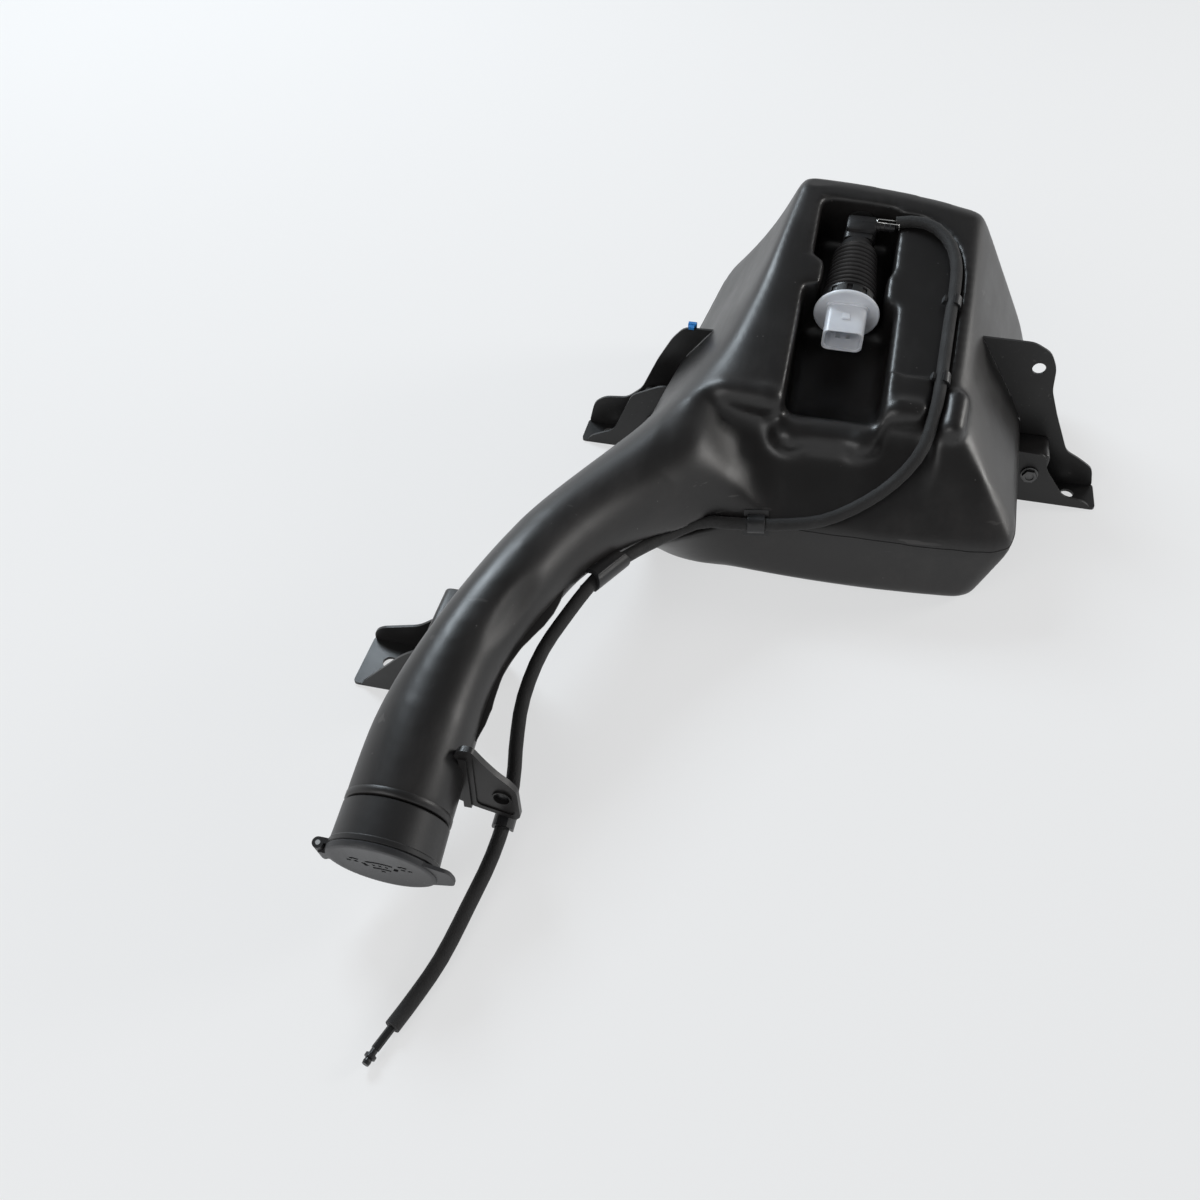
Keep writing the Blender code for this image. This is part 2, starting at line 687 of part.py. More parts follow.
def wall_plate(name, outline, y, holes=(), parent=ROOT, look=None, thickness=SHEET, fillet=4 * MM):
    """An upright plate across Y at the given place, from an outline in millimetres of X and Z."""
    scaled = [(x * MM, z * MM) for x, z in outline]
    rings = [circle_points((x * MM, z * MM), r) for x, z, r in holes]
    mesh = plate_mesh(name, filleted(scaled, fillet), thickness, rings)
    return add_object(name, mesh, parent, look, location=(0, y, 0), rotation=(math.pi / 2, 0, 0))


def lug_block(name, lug, front, rear, screw):
    """A moulded lug between a bracket's two walls, and the drill for its screw."""
    left, right, low, high = (v * MM for v in lug)
    inner_front = front + SHEET + GAP
    inner_rear = rear - SHEET - GAP
    block = add_object(name, box_mesh(name, (left, inner_front, low), (right, inner_rear, high)), ROOT)
    bevel(block, 2 * MM, 2)
    place = (screw[0] * MM, (front + rear) / 2, screw[1] * MM)
    length = rear - front
    drill = add_object(name + "_drill", cylinder_mesh(name, SCREW_RADIUS + GAP, -length, length, 16), ROOT,
                       location=place, rotation=(math.pi / 2, 0, 0))
    return block, drill


def make_tank():
    cage = tank_cage()
    tank = shell_form("washer_tank", cage, 0, SHELL_LEVELS, BLACK_PLASTIC)
    cavity = shell_form("tank_cavity", cage, -WALL, CAVITY_LEVELS)
    for cutter in recess_cutters("_wall", WALL):
        boolean(cavity, cutter)

    spigot = cylinder_mesh("neck_spigot", SPIGOT_RADIUS, -COLLAR_LENGTH - 2 * WALL, -LIP_THICKNESS - GAP, 36)
    boolean(tank, add_object("neck_spigot", spigot, LID_FRAME), "UNION")
    drills = []
    for name, lug, front, rear, screw in (
        ("left_lug", LEFT_LUG, LEFT_FRONT_Y, LEFT_REAR_Y, LEFT_SCREW),
        ("right_lug", RIGHT_LUG, RIGHT_FRONT_Y, RIGHT_REAR_Y, RIGHT_SCREW),
        ("neck_lug", NECK_LUG, NECK_FRONT_Y, NECK_REAR_Y, NECK_SCREW),
    ):
        block, drill = lug_block(name, lug, front, rear, screw)
        boolean(tank, block, "UNION")
        drills.append(drill)
    hose_lug = wall_plate("hose_lug", HOSE_LUG_OUTLINE, HOSE_LUG_Y, thickness=HOSE_LUG_THICKNESS)
    boolean(tank, hose_lug, "UNION")

    boolean(tank, cavity)
    bore = cylinder_mesh("mouth_bore", MOUTH_RADIUS, -COLLAR_LENGTH - 5 * WALL, WALL, 36)
    boolean(tank, add_object("mouth_bore", bore, LID_FRAME))
    for cutter in recess_cutters("_cut", 0):
        boolean(tank, cutter)
    for drill in drills:
        boolean(tank, drill)
    tail = UPPER_POCKET["tail"] * MM
    inlet = cylinder_mesh("inlet_hole", GROMMET_RADIUS + GAP, tail - 2 * WALL, tail + 2 * WALL, 24)
    boolean(tank, add_object("inlet_hole", inlet, PUMP))
    eye = cylinder_mesh("hose_lug_hole", HOSE_LUG_HOLE_RADIUS, -4 * WALL, 4 * WALL, 20)
    x, z = HOSE_LUG_HOLE
    boolean(tank, add_object("hose_lug_hole", eye, ROOT, location=(x * MM, HOSE_LUG_Y, z * MM),
                             rotation=(math.pi / 2, 0, 0)))
    return tank, shell_form("tank_envelope", cage, GAP, SHELL_LEVELS)


def make_collar():
    outer = NECK_RADIUS + COLLAR_FLARE
    bore = SPIGOT_RADIUS + GAP
    lip = MOUTH_RADIUS + PLUG_WALL / 2
    low = -COLLAR_LENGTH + GROOVE_WIDTH
    profile = [(outer, 0), (NECK_RADIUS, low), (bore, low), (bore, -LIP_THICKNESS), (lip, -LIP_THICKNESS),
               (lip, 0)]
    collar = add_object("filler_collar", turned_mesh("filler_collar", profile, 36), LID_FRAME, BLACK_PLASTIC)
    near = BARREL_LENGTH / 2 + GAP
    for side in (-1, 1):
        low_end, high_end = sorted((side * near, side * (near + KNUCKLE_LENGTH)))
        name = "knuckle_" + ("lower" if side < 0 else "upper")
        knuckle = add_object(name, cylinder_mesh(name, KNUCKLE_RADIUS, low_end, high_end, 16), LID_FRAME,
                             location=(-HINGE_OFFSET, 0, 0), rotation=(-math.pi / 2, 0, 0))
        boolean(collar, knuckle, "UNION")
        web_low = (-HINGE_OFFSET, low_end, -KNUCKLE_RADIUS)
        web_high = (-NECK_RADIUS + COLLAR_FLARE, high_end, -GAP)
        web = add_object(name + "_web", box_mesh(name + "_web", web_low, web_high), LID_FRAME)
        boolean(collar, web, "UNION")
    hole_mesh = cylinder_mesh("collar_pin_hole", PIN_RADIUS + GAP, -20 * MM, 20 * MM, 16)
    boolean(collar, add_object("collar_pin_hole", hole_mesh, LID_FRAME, location=(-HINGE_OFFSET, 0, 0),
                               rotation=(math.pi / 2, 0, 0)))
    return collar


def make_lid():
    """Lid and its seal, under an empty on the hinge's axis."""
    hinge = frame("lid_hinge", (-HINGE_OFFSET, 0, 0), parent=LID_FRAME)
    plug = MOUTH_RADIUS - GAP
    top = GAP + LID_THICKNESS
    rounding = LID_THICKNESS / 3
    profile = [(0, top), (LID_RADIUS - rounding, top), (LID_RADIUS, top - rounding), (LID_RADIUS, GAP),
               (plug, GAP), (plug, -PLUG_DEPTH), (plug - PLUG_WALL, -PLUG_DEPTH),
               (plug - PLUG_WALL, GAP - 0.2 * MM), (0, GAP - 0.2 * MM)]
    groove_low = -LIP_THICKNESS - SEAL_THICKNESS
    lid = add_object("filler_lid", turned_mesh("filler_lid", profile, 36), hinge, BLACK_PLASTIC,
                     location=(HINGE_OFFSET, 0, 0))
    root, middle, tip = LID_RADIUS - 8 * MM, LID_RADIUS + TAB_LENGTH / 2, LID_RADIUS + TAB_LENGTH
    tab_outline = filleted([(root, -TAB_WIDTH / 2), (middle, -TAB_WIDTH / 2.6), (tip, -TAB_WIDTH / 5),
                            (tip, TAB_WIDTH / 5), (middle, TAB_WIDTH / 2.6), (root, TAB_WIDTH / 2)], 4 * MM)
    tab_thickness = LID_THICKNESS * 0.62
    tab = add_object("thumb_tab", plate_mesh("thumb_tab", tab_outline, tab_thickness), hinge,
                     location=(HINGE_OFFSET, 0, top - rounding - tab_thickness / 2))
    boolean(lid, tab, "UNION")
    half_barrel = BARREL_LENGTH / 2
    barrel_mesh = cylinder_mesh("hinge_barrel", KNUCKLE_RADIUS, -half_barrel, half_barrel, 16)
    boolean(lid, add_object("hinge_barrel", barrel_mesh, hinge, rotation=(math.pi / 2, 0, 0)), "UNION")
    web_high = (2 * KNUCKLE_RADIUS, half_barrel, top - GAP)
    web_mesh = box_mesh("barrel_web", (0, -half_barrel, 2 * GAP), web_high)
    boolean(lid, add_object("barrel_web", web_mesh, hinge), "UNION")
    hole_mesh = cylinder_mesh("lid_pin_hole", PIN_RADIUS + GAP, -20 * MM, 20 * MM, 16)
    boolean(lid, add_object("lid_pin_hole", hole_mesh, hinge, rotation=(math.pi / 2, 0, 0)))
    groove_top = groove_low + SEAL_THICKNESS + GAP
    groove_bed = plug - SEAL_THICKNESS
    groove = turned_mesh("seal_groove", [(plug + WALL, groove_top), (plug + WALL, groove_low - GAP),
                                         (groove_bed, groove_low - GAP), (groove_bed, groove_top)], 36)
    boolean(lid, add_object("seal_groove", groove, hinge, location=(HINGE_OFFSET, 0, 0)))
    seal_profile = [(plug - GAP / 2, groove_low + SEAL_THICKNESS), (plug - GAP / 2, groove_low),
                    (plug - SEAL_THICKNESS + GAP, groove_low),
                    (plug - SEAL_THICKNESS + GAP, groove_low + SEAL_THICKNESS)]
    add_object("lid_seal", turned_mesh("lid_seal", seal_profile, 32), hinge, BLACK_RUBBER,
               location=(HINGE_OFFSET, 0, 0))
    pin_half = BARREL_LENGTH / 2 + GAP + KNUCKLE_LENGTH
    pin_mesh = cylinder_mesh("hinge_pin", PIN_RADIUS, -pin_half, pin_half, 16)
    add_object("hinge_pin", pin_mesh, LID_FRAME, BRIGHT_STEEL, location=(-HINGE_OFFSET, 0, 0),
               rotation=(math.pi / 2, 0, 0))
    return lid


def sleeve_profile():
    """Ribbed outer side from the narrow tail to the wide flange end, then the straight bore."""
    bore = CAN_RADIUS + GAP
    tail = -GAP - SLEEVE_LENGTH
    points = []
    for rib in range(SLEEVE_RIBS):
        for share, depth in ((0.0, RIB_DEPTH), (0.18, 0.0), (0.62, 0.0), (0.8, RIB_DEPTH)):
            along = (rib + share) / SLEEVE_RIBS
            crest = SLEEVE_WIDE + (SLEEVE_NARROW - SLEEVE_WIDE) * along
            points.append((crest - depth, -GAP - SLEEVE_LENGTH * along))
    points.append((SLEEVE_NARROW - RIB_DEPTH, tail))
    points += [(bore, tail), (bore, -GAP)]
    return points


def make_pump():
    """Sleeve, motor, head and inlet on the pump's axis."""
    add_object("pump_sleeve", turned_mesh("pump_sleeve", sleeve_profile(), 22), PUMP, BLACK_RUBBER)
    can_tail = -GAP - SLEEVE_LENGTH
    inner = CAN_RADIUS - CAN_WALL
    can = [(CAN_RADIUS, -GAP), (CAN_RADIUS, can_tail), (SHAFT_RADIUS + GAP, can_tail),
           (SHAFT_RADIUS + GAP, can_tail + CAN_WALL), (inner, can_tail + CAN_WALL), (inner, -GAP)]
    add_object("motor_can", turned_mesh("motor_can", can, 22), PUMP, BRIGHT_STEEL)

    head_start = can_tail - GAP
    head_end = head_start - HEAD_LENGTH
    chamber = HEAD_RADIUS - HEAD_WALL
    chamber_end = head_start - CHAMBER_DEPTH
    head = [(HEAD_RADIUS, head_start), (HEAD_RADIUS, head_end), (NIPPLE_RADIUS, head_end),
            (NIPPLE_RADIUS, head_end - NIPPLE_LENGTH), (NIPPLE_BORE, head_end - NIPPLE_LENGTH),
            (NIPPLE_BORE, chamber_end), (chamber, chamber_end), (chamber, head_start)]
    pump_head = add_object("pump_head", turned_mesh("pump_head", head, 24), PUMP, BLACK_PLASTIC)
    outlet_z = head_end + 2.2 * OUTLET_RADIUS
    outlet_place = (0, OUTLET_RISE, outlet_z)
    collar_size = OUTLET_RADIUS + 1.4 * MM
    across = (0, math.pi / 2, 0)
    boss = cylinder_mesh("outlet_boss", collar_size, 0, HEAD_RADIUS, 20)
    boolean(pump_head, add_object("outlet_boss", boss, PUMP, location=outlet_place, rotation=across), "UNION")
    spigot = cylinder_mesh("outlet_spigot", OUTLET_RADIUS, 0, OUTLET_REACH, 20)
    boolean(pump_head, add_object("outlet_spigot", spigot, PUMP, location=outlet_place, rotation=across), "UNION")
    bore = cylinder_mesh("outlet_bore", OUTLET_BORE, MM, 2 * OUTLET_REACH, 16)
    boolean(pump_head, add_object("outlet_bore", bore, PUMP, location=outlet_place, rotation=across))

    rotor_low = can_tail + CAN_WALL + 3 * MM
    shaft_end = chamber_end + 2 * GAP
    impeller_tail = chamber_end + 4 * GAP
    impeller_front = head_start - 3 * GAP
    rotor = [(0, -4 * GAP), (SHAFT_RADIUS, -4 * GAP), (SHAFT_RADIUS, -6 * MM), (ROTOR_RADIUS, -6 * MM),
             (ROTOR_RADIUS, rotor_low), (SHAFT_RADIUS, rotor_low), (SHAFT_RADIUS, shaft_end), (0, shaft_end)]
    add_object("motor_rotor", turned_mesh("motor_rotor", rotor, 16), PUMP, COPPER)
    hub = 2.5 * SHAFT_RADIUS
    disc = [(IMPELLER_RADIUS, impeller_front), (IMPELLER_RADIUS, impeller_front - 1.2 * MM),
            (hub, impeller_front - 1.2 * MM), (hub, impeller_tail), (SHAFT_RADIUS + GAP, impeller_tail),
            (SHAFT_RADIUS + GAP, impeller_front)]
    impeller = add_object("pump_impeller", turned_mesh("pump_impeller", disc, 24), PUMP, WHITE_PLASTIC)
    for blade in range(IMPELLER_BLADES):
        name = "impeller_blade_%d" % blade
        tip = (IMPELLER_RADIUS - 0.2 * MM, 0.5 * MM, impeller_front - MM)
        mesh = box_mesh(name, (hub - MM, -0.5 * MM, impeller_tail), tip)
        turn = (0, 0, math.tau * blade / IMPELLER_BLADES)
        boolean(impeller, add_object(name, mesh, PUMP, rotation=turn), "UNION")

    tail_wall = UPPER_POCKET["tail"] * MM
    seal_bore = NIPPLE_RADIUS + GAP
    grommet = [(GROMMET_FLANGE, tail_wall + GAP + 1.6 * MM), (GROMMET_FLANGE, tail_wall + GAP),
               (GROMMET_RADIUS, tail_wall + GAP), (GROMMET_RADIUS, tail_wall - WALL - MM),
               (seal_bore, tail_wall - WALL - MM), (seal_bore, tail_wall + GAP + 1.6 * MM)]
    add_object("inlet_grommet", turned_mesh("inlet_grommet", grommet, 24), PUMP, BLACK_RUBBER)
    nipple_end = head_end - NIPPLE_LENGTH
    strainer = [(NIPPLE_RADIUS, nipple_end - GAP), (NIPPLE_RADIUS - MM, nipple_end - GAP - 2 * MM),
                (NIPPLE_BORE, nipple_end - GAP - 2 * MM), (NIPPLE_BORE, nipple_end - GAP)]
    add_object("inlet_strainer", turned_mesh("inlet_strainer", strainer, 24), PUMP, WHITE_PLASTIC)

    clip_bore = OUTLET_RADIUS + GAP
    clip_rim = clip_bore + 2 * CLIP_WIRE
    clip_place = (OUTLET_REACH - 6 * MM, OUTLET_RISE, outlet_z)
    ring = [(clip_rim, CLIP_WIRE), (clip_rim, -CLIP_WIRE), (clip_bore, -CLIP_WIRE), (clip_bore, CLIP_WIRE)]
    clip = add_object("outlet_clip", turned_mesh("outlet_clip", ring, 24), PUMP, BRIGHT_STEEL,
                      location=clip_place, rotation=across)
    leg_low = clip_bore + CLIP_WIRE
    leg = box_mesh("clip_leg", (-leg_low - 1.2 * CLIP_WIRE, -CLIP_WIRE, -OUTLET_REACH / 5),
                   (-leg_low + 0.4 * CLIP_WIRE, CLIP_WIRE, OUTLET_REACH / 8))
    boolean(clip, add_object("clip_leg", leg, PUMP, location=clip_place, rotation=across), "UNION")


def shroud_outline(width, height):
    """The connector's outline: flat top with small corners, round lower corners."""
    half, low, high = width / 2, -height / 2, height / 2
    outline = [(-half + MM, high), (-half, high - MM)]
    radius = height * 0.42
    outline += [(x - half + radius, y + low + radius) for x, y in arc_points(radius, 180, 270, 6)]
    outline += [(x + half - radius, y + low + radius) for x, y in arc_points(radius, 270, 360, 6)]
    outline += [(half, high - MM), (half - MM, high)]
    return outline


def make_end_cap():
    """White flange with the connector's shroud, and the two terminals in its socket."""
    profile = [(0, FLANGE_THICKNESS), (FLANGE_RADIUS - MM, FLANGE_THICKNESS),
               (FLANGE_RADIUS, FLANGE_THICKNESS - MM), (FLANGE_RADIUS, 0), (0, 0)]
    cap = add_object("pump_end_cap", turned_mesh("pump_end_cap", profile, 36), PUMP, WHITE_PLASTIC)
    length = SHROUD_LENGTH
    shroud = plate_mesh("connector_shroud", shroud_outline(SHROUD_WIDTH, SHROUD_HEIGHT), length)
    boolean(cap, add_object("connector_shroud", shroud, PUMP, location=(0, 0, length / 2 + MM)), "UNION")
    latch = add_object("latch", box_mesh("latch", (-4 * MM, SHROUD_HEIGHT / 2 - MM, 9 * MM),
                                         (4 * MM, SHROUD_HEIGHT / 2 + 1.5 * MM, 14 * MM)), PUMP)
    boolean(cap, latch, "UNION")
    inside = 2 * SHROUD_WALL
    end = length + MM
    socket_outline = shroud_outline(SHROUD_WIDTH - inside, SHROUD_HEIGHT - inside)
    socket_mesh = plate_mesh("connector_socket", socket_outline, 2 * SOCKET_DEPTH)
    boolean(cap, add_object("connector_socket", socket_mesh, PUMP, location=(0, 0, end)))
    floor = end - SOCKET_DEPTH
    for name, side in (("connector_pin_a", -1), ("connector_pin_b", 1)):
        x = side * TERMINAL_SPACING / 2
        half = TERMINAL_SIZE / 2
        low = (x - half.x, -half.y, floor + GAP)
        high = (x + half.x, half.y, floor + GAP + TERMINAL_SIZE.z)
        add_object(name, box_mesh(name, low, high), PUMP, BRIGHT_STEEL)


def make_hose():
    """Foam-sleeved hose, the thin tube at its end and the barbed fitting."""
    hose = tube_curve("washer_hose", smooth_route(hose_route(), HOSE_POINT_COUNT), HOSE_RADIUS)
    add_object("washer_hose", hose, ROOT, FOAM)
    tube = [Vector(p) * MM for p in TUBE_ROUTE]
    add_object("hose_tube", tube_curve("hose_tube", tube, TUBE_RADIUS), ROOT, BLACK_RUBBER)
    start = tube[-1]
    along = FITTING_END - start
    length = along.length
    wide = FITTING_RADIUS
    slim = TUBE_RADIUS * 0.8
    profile = [(0, length), (slim, length), (slim * 1.15, 0.8 * length), (slim, 0.62 * length),
               (wide, 0.58 * length), (wide, 0.38 * length), (slim, 0.34 * length), (slim, GAP), (0, GAP)]
    add_object("hose_fitting", turned_mesh("hose_fitting", profile, 20), ROOT, BLACK_PLASTIC, location=start,
               rotation=along.to_track_quat("Z", "Y").to_euler())


def route_frame(share):
    """Place and direction of the hose at a share of its length."""
    points = smooth_route(hose_route(), 201)
    index = round(share * 200)
    return points[index], (points[index + 1] - points[index - 1]).normalized()


def saddle_outline(radius, wall, leg):
    """A strap over the hose: round top and two legs, in the plane across the hose."""
    outer = arc_points(radius + wall, 180, 0, 13)
    inner = arc_points(radius - wall / 2, 0, 180, 9)
    side = radius + GAP
    hook = radius - wall / 2
    return [(-radius - wall, -leg), *outer, (radius + wall, -leg), (side, -leg), (side, -wall / 2),
            (hook, -wall / 2), *inner, (-hook, -wall / 2), (-side, -wall / 2), (-side, -leg)]


def make_clip(name, share, length, outward, leg, clearance, envelope):
    """A strap clip across the hose, bored for it, with its legs cut to the tank's surface."""
    place, along = route_frame(share)
    up = (Vector(outward) - along * along.dot(Vector(outward))).normalized()
    across = up.cross(along)
    mesh = plate_mesh(name, saddle_outline(HOSE_RADIUS + GAP, CLIP_WALL, leg), length)
    clip = add_object(name, mesh, ROOT, BLACK_PLASTIC, location=place)
    clip.rotation_euler = Matrix((across, up, along)).transposed().to_euler()
    boolean(clip, clearance)
    if envelope is not None:
        boolean(clip, envelope)
    return clip


def make_clips(envelope):
    route = smooth_route(hose_route(), HOSE_POINT_COUNT)
    clearance = add_object("hose_clearance", tube_mesh("hose_clearance", route, HOSE_RADIUS + GAP), ROOT)
    face_up = Vector((0.3, -math.sin(FACE_ANGLE), math.cos(FACE_ANGLE)))
    for name, share in RIM_CLIPS.items():
        make_clip(name, share, RIM_CLIP_LENGTH, face_up, 8 * MM, clearance, envelope)
    make_clip("bridge_clip", BRIDGE_PLACE, BRIDGE_LENGTH, (0, -1, 0.5), 12 * MM, clearance, envelope)
    make_clip("neck_sleeve_clip", SLEEVE_CLIP_PLACE, SLEEVE_CLIP_LENGTH, (1, -0.3, 0.3), 12 * MM, clearance,
              envelope)
    make_clip("lug_hose_clip", LUG_CLIP_PLACE, LUG_CLIP_LENGTH, (0, 0, 1), 2 * MM, clearance, None)


def make_bracket(name, rear_outline, front_outline, rear, front, reach, hole, screw, envelope, more_holes=()):
    """A channel arm: tall rear wall, low front wall and bolted floor, its inner edge cut to the tank."""
    drill = (*screw, SCREW_RADIUS + GAP)
    bracket = wall_plate(name, rear_outline, rear - SHEET / 2, (drill, *more_holes), look=BLACK_STEEL)
    wall = wall_plate(name + "_front", front_outline, front + SHEET / 2, (drill,))
    boolean(bracket, wall, "UNION")
    left, right = (v * MM for v in reach)
    outline = [(left, front), (right, front), (right, rear), (left, rear)]
    hole_ring = circle_points((hole[0] * MM, hole[1] * MM), BOLT_HOLE)
    floor = plate_mesh(name + "_floor", filleted(outline, 3 * MM), SHEET, (hole_ring,))
    boolean(bracket, add_object(name + "_floor", floor, ROOT, location=(0, 0, SHEET / 2)), "UNION")
    boolean(bracket, envelope)
    x, z = (v * MM for v in screw)
    head = front - GAP
    tip = -(rear - front) - 2 * MM
    profile = [(0, SCREW_HEAD_HEIGHT), (SCREW_HEAD - MM, SCREW_HEAD_HEIGHT),
               (SCREW_HEAD, SCREW_HEAD_HEIGHT - MM), (SCREW_HEAD, 0), (SCREW_RADIUS, 0), (SCREW_RADIUS, tip),
               (0, tip)]
    screw_name = name.replace("bracket", "screw")
    add_object(screw_name, turned_mesh(screw_name, profile, 18), ROOT, BRIGHT_STEEL, location=(x, head, z),
               rotation=(math.pi / 2, 0, 0))
    return bracket


def make_brackets(envelope):
    make_bracket("left_bracket", LEFT_REAR_WALL, LEFT_FRONT_WALL, LEFT_REAR_Y, LEFT_FRONT_Y, LEFT_REACH,
                 LEFT_HOLE, LEFT_SCREW, envelope)
    make_bracket("right_bracket", RIGHT_REAR_WALL, RIGHT_FRONT_WALL, RIGHT_REAR_Y, RIGHT_FRONT_Y, RIGHT_REACH,
                 RIGHT_HOLE, RIGHT_SCREW, envelope, ((*RIGHT_TOP_HOLE, BOLT_HOLE),))
    make_bracket("neck_bracket", NECK_REAR_WALL, NECK_FRONT_WALL, NECK_REAR_Y, NECK_FRONT_Y, NECK_REACH,
                 NECK_HOLE, NECK_SCREW, envelope)


def make_blue_clip(envelope):
    top = LEFT_REAR_WALL[0][1] * MM
    middle = LEFT_REAR_Y - SHEET / 2
    size = BLUE_CLIP_SIZE
    low = (BLUE_CLIP_X - size.x / 2, middle - size.y / 2, top + 2 * MM - size.z)
    high = (BLUE_CLIP_X + size.x / 2, middle + size.y / 2, top + 2 * MM)
    clip = add_object("blue_clip", box_mesh("blue_clip", low, high), ROOT, BLUE_PLASTIC)
    slot = box_mesh("blue_slot", (low[0] - MM, middle - SHEET / 2 - GAP, low[2] - MM),
                    (high[0] + MM, middle + SHEET / 2 + GAP, top + GAP))
    boolean(clip, add_object("blue_slot", slot, ROOT))
    boolean(clip, envelope)


def centre_on_floor():
    """Puts the origin under the middle of the object, leaving out the hose and what is on it."""
    bpy.context.view_layer.update()
    graph = bpy.context.evaluated_depsgraph_get()
    corners = []
    for obj in PARTS.objects:
        if obj.type == "EMPTY" or obj.name in ("washer_hose", "hose_tube", "hose_fitting"):
            continue
        body = obj.evaluated_get(graph)
        mesh = body.to_mesh()
        corners += [body.matrix_world @ v.co for v in mesh.vertices]
        body.to_mesh_clear()
    low = Vector([min(c[i] for c in corners) for i in range(3)])
    high = Vector([max(c[i] for c in corners) for i in range(3)])
    ROOT.location = (-(low.x + high.x) / 2, -(low.y + high.y) / 2, 0)


def build():
    envelope = make_tank()[1]
    make_collar()
    make_lid()
    make_pump()
    make_end_cap()
    make_hose()
    make_clips(envelope)
    make_brackets(envelope)
    make_blue_clip(envelope)
    centre_on_floor()


build()
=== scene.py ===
"""Looks of the washer fluid reservoir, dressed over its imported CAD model.

Positions are given from the tank's drawing origin, as in the part's source, and ORIGIN moves them to the row's frame.
"""

import math

import bmesh
import bpy
from mathutils import Matrix, Vector
from mathutils.bvhtree import BVHTree


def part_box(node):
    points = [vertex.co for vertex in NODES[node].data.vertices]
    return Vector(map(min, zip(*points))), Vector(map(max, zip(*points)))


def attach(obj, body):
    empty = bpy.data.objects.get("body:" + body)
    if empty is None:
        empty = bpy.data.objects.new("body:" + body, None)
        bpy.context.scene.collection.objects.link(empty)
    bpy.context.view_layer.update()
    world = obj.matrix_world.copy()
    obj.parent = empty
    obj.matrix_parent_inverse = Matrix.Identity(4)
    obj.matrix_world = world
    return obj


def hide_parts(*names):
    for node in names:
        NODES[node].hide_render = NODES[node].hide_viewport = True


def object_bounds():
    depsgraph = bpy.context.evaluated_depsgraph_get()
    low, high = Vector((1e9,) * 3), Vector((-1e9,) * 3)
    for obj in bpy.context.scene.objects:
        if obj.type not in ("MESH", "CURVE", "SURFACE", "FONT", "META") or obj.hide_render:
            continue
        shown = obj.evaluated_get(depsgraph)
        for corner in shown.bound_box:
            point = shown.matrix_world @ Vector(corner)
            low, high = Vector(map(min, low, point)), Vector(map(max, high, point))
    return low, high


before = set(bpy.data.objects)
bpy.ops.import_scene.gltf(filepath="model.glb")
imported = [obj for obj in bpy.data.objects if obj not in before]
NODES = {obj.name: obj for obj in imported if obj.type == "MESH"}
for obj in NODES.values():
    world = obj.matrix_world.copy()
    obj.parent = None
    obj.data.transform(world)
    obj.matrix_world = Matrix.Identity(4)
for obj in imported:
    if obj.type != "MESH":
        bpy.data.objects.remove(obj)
bpy.context.scene.view_settings.view_transform = "Standard"
CAD_BOX = [list(corner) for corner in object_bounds()]

# Lengths are millimetres up to where an object is made
MM = 0.001
GAP = 0.3
QUARTER = math.pi / 2
ORIGIN = Vector((78.5, 101.4, 0))

# The camera of the photograph
CAMERA_PLACE = Vector((-50.9, -668.6, 546))
CAMERA_YAW = math.radians(13)
CAMERA_PITCH = math.radians(45)
CAMERA_FOCAL = 1178
PHOTO_SIZE = 1200

# Hose route, as in the part's source
HOSE_RADIUS = 4.0
HOSE_POINTS = 76
HOSE_ROUTE = [
    (-21.7, 137.0, 145.4), (-10.0, 137.0, 147.5), (3.4, 131.5, 148.5), (15.5, 118.0, 145.0),
    (21.6, 100.6, 139.5), (22.6, 78.0, 133.5), (21.3, 50.0, 126.0), (20.2, 13.8, 116.0), (19.6, -8.1, 110.0),
    (18.2, -25.5, 103.6), (12.4, -52.8, 89.6), (-6.3, -73.1, 72.3), (-35.1, -89.4, 58.1), (-60.9, -95.3, 52.7),
    (-92.1, -99.2, 50.3), (-115.2, -100.0, 48.0), (-135.5, -119.0, 48.0), (-153.0, -148.5, 55.0),
    (-165.5, -177.0, 61.0), (-178.0, -213.0, 57.0), (-185.5, -238.0, 51.0), (-188.6, -264.0, 41.0),
    (-186.3, -287.3, 31.0), (-183.3, -305.0, 22.5), (-182.4, -325.0, 16.2), (-183.8, -348.1, 11.0),
    (-187.6, -371.8, 7.2), (-193.2, -406.1, 4.6), (-201.4, -434.6, 4.3), (-204.6, -444.0, 4.3),
]

# Tank cage, as in the part's source
TANK_HEIGHT = 161
FACE_ANGLE = math.radians(15)
FACE_CANT = 0.052
FACE_ORIGIN = Vector((-86, 157, 0))

EDGE_CREASE = 0.50
SEAM_CREASE = 0.45
SHOULDER_CREASE = 0.36
FLOOR_FRONT = [(-166, -42), (-148, -85), (-105, -92), (-15, -95), (61, -87)]
FLOOR_MIDDLE = [(-154, 60), (-105, 60), (-60, 60), (10, 58), (80, 56)]
FLOOR_BACK = [(-135, 180), (-88, 178), (-42, 174), (20, 167), (84, 160)]
FACE_FRONT = [(-118, -30, 0), (-84, -46, 0), (-12, -47, 1), (30, -27, 2)]
FACE_MIDDLE = [(-103, 64, 0), (-52, 62, 0), (0, 62, 0), (36, 62, 0)]
FACE_BACK = [(-90, 168, 0), (-42, 169, 0), (5, 165, 0), (37, 157, 0)]
SEAM_LEFT = [(-174, -38, 60), (-158, 58, 61), (-143, 190, 66)]
SEAM_RIGHT = [(83, -80, 45), (87, 50, 48), (92, 170, 52)]
SEAM_FRONT = [(-96, -93, 48), (-12, -93, 46)]
SEAM_BACK = [(-92, 189, 66), (-42, 184, 62), (30, 177, 57)]
VALLEY = [(-94, -80, 68), (-12, -73, 63), (55, -53, 76)]
SLOPE_LEFT = [(-147, -32, 94), (-127, 60, 102), (-109, 170, 112)]
NECK_RADIUS = 28
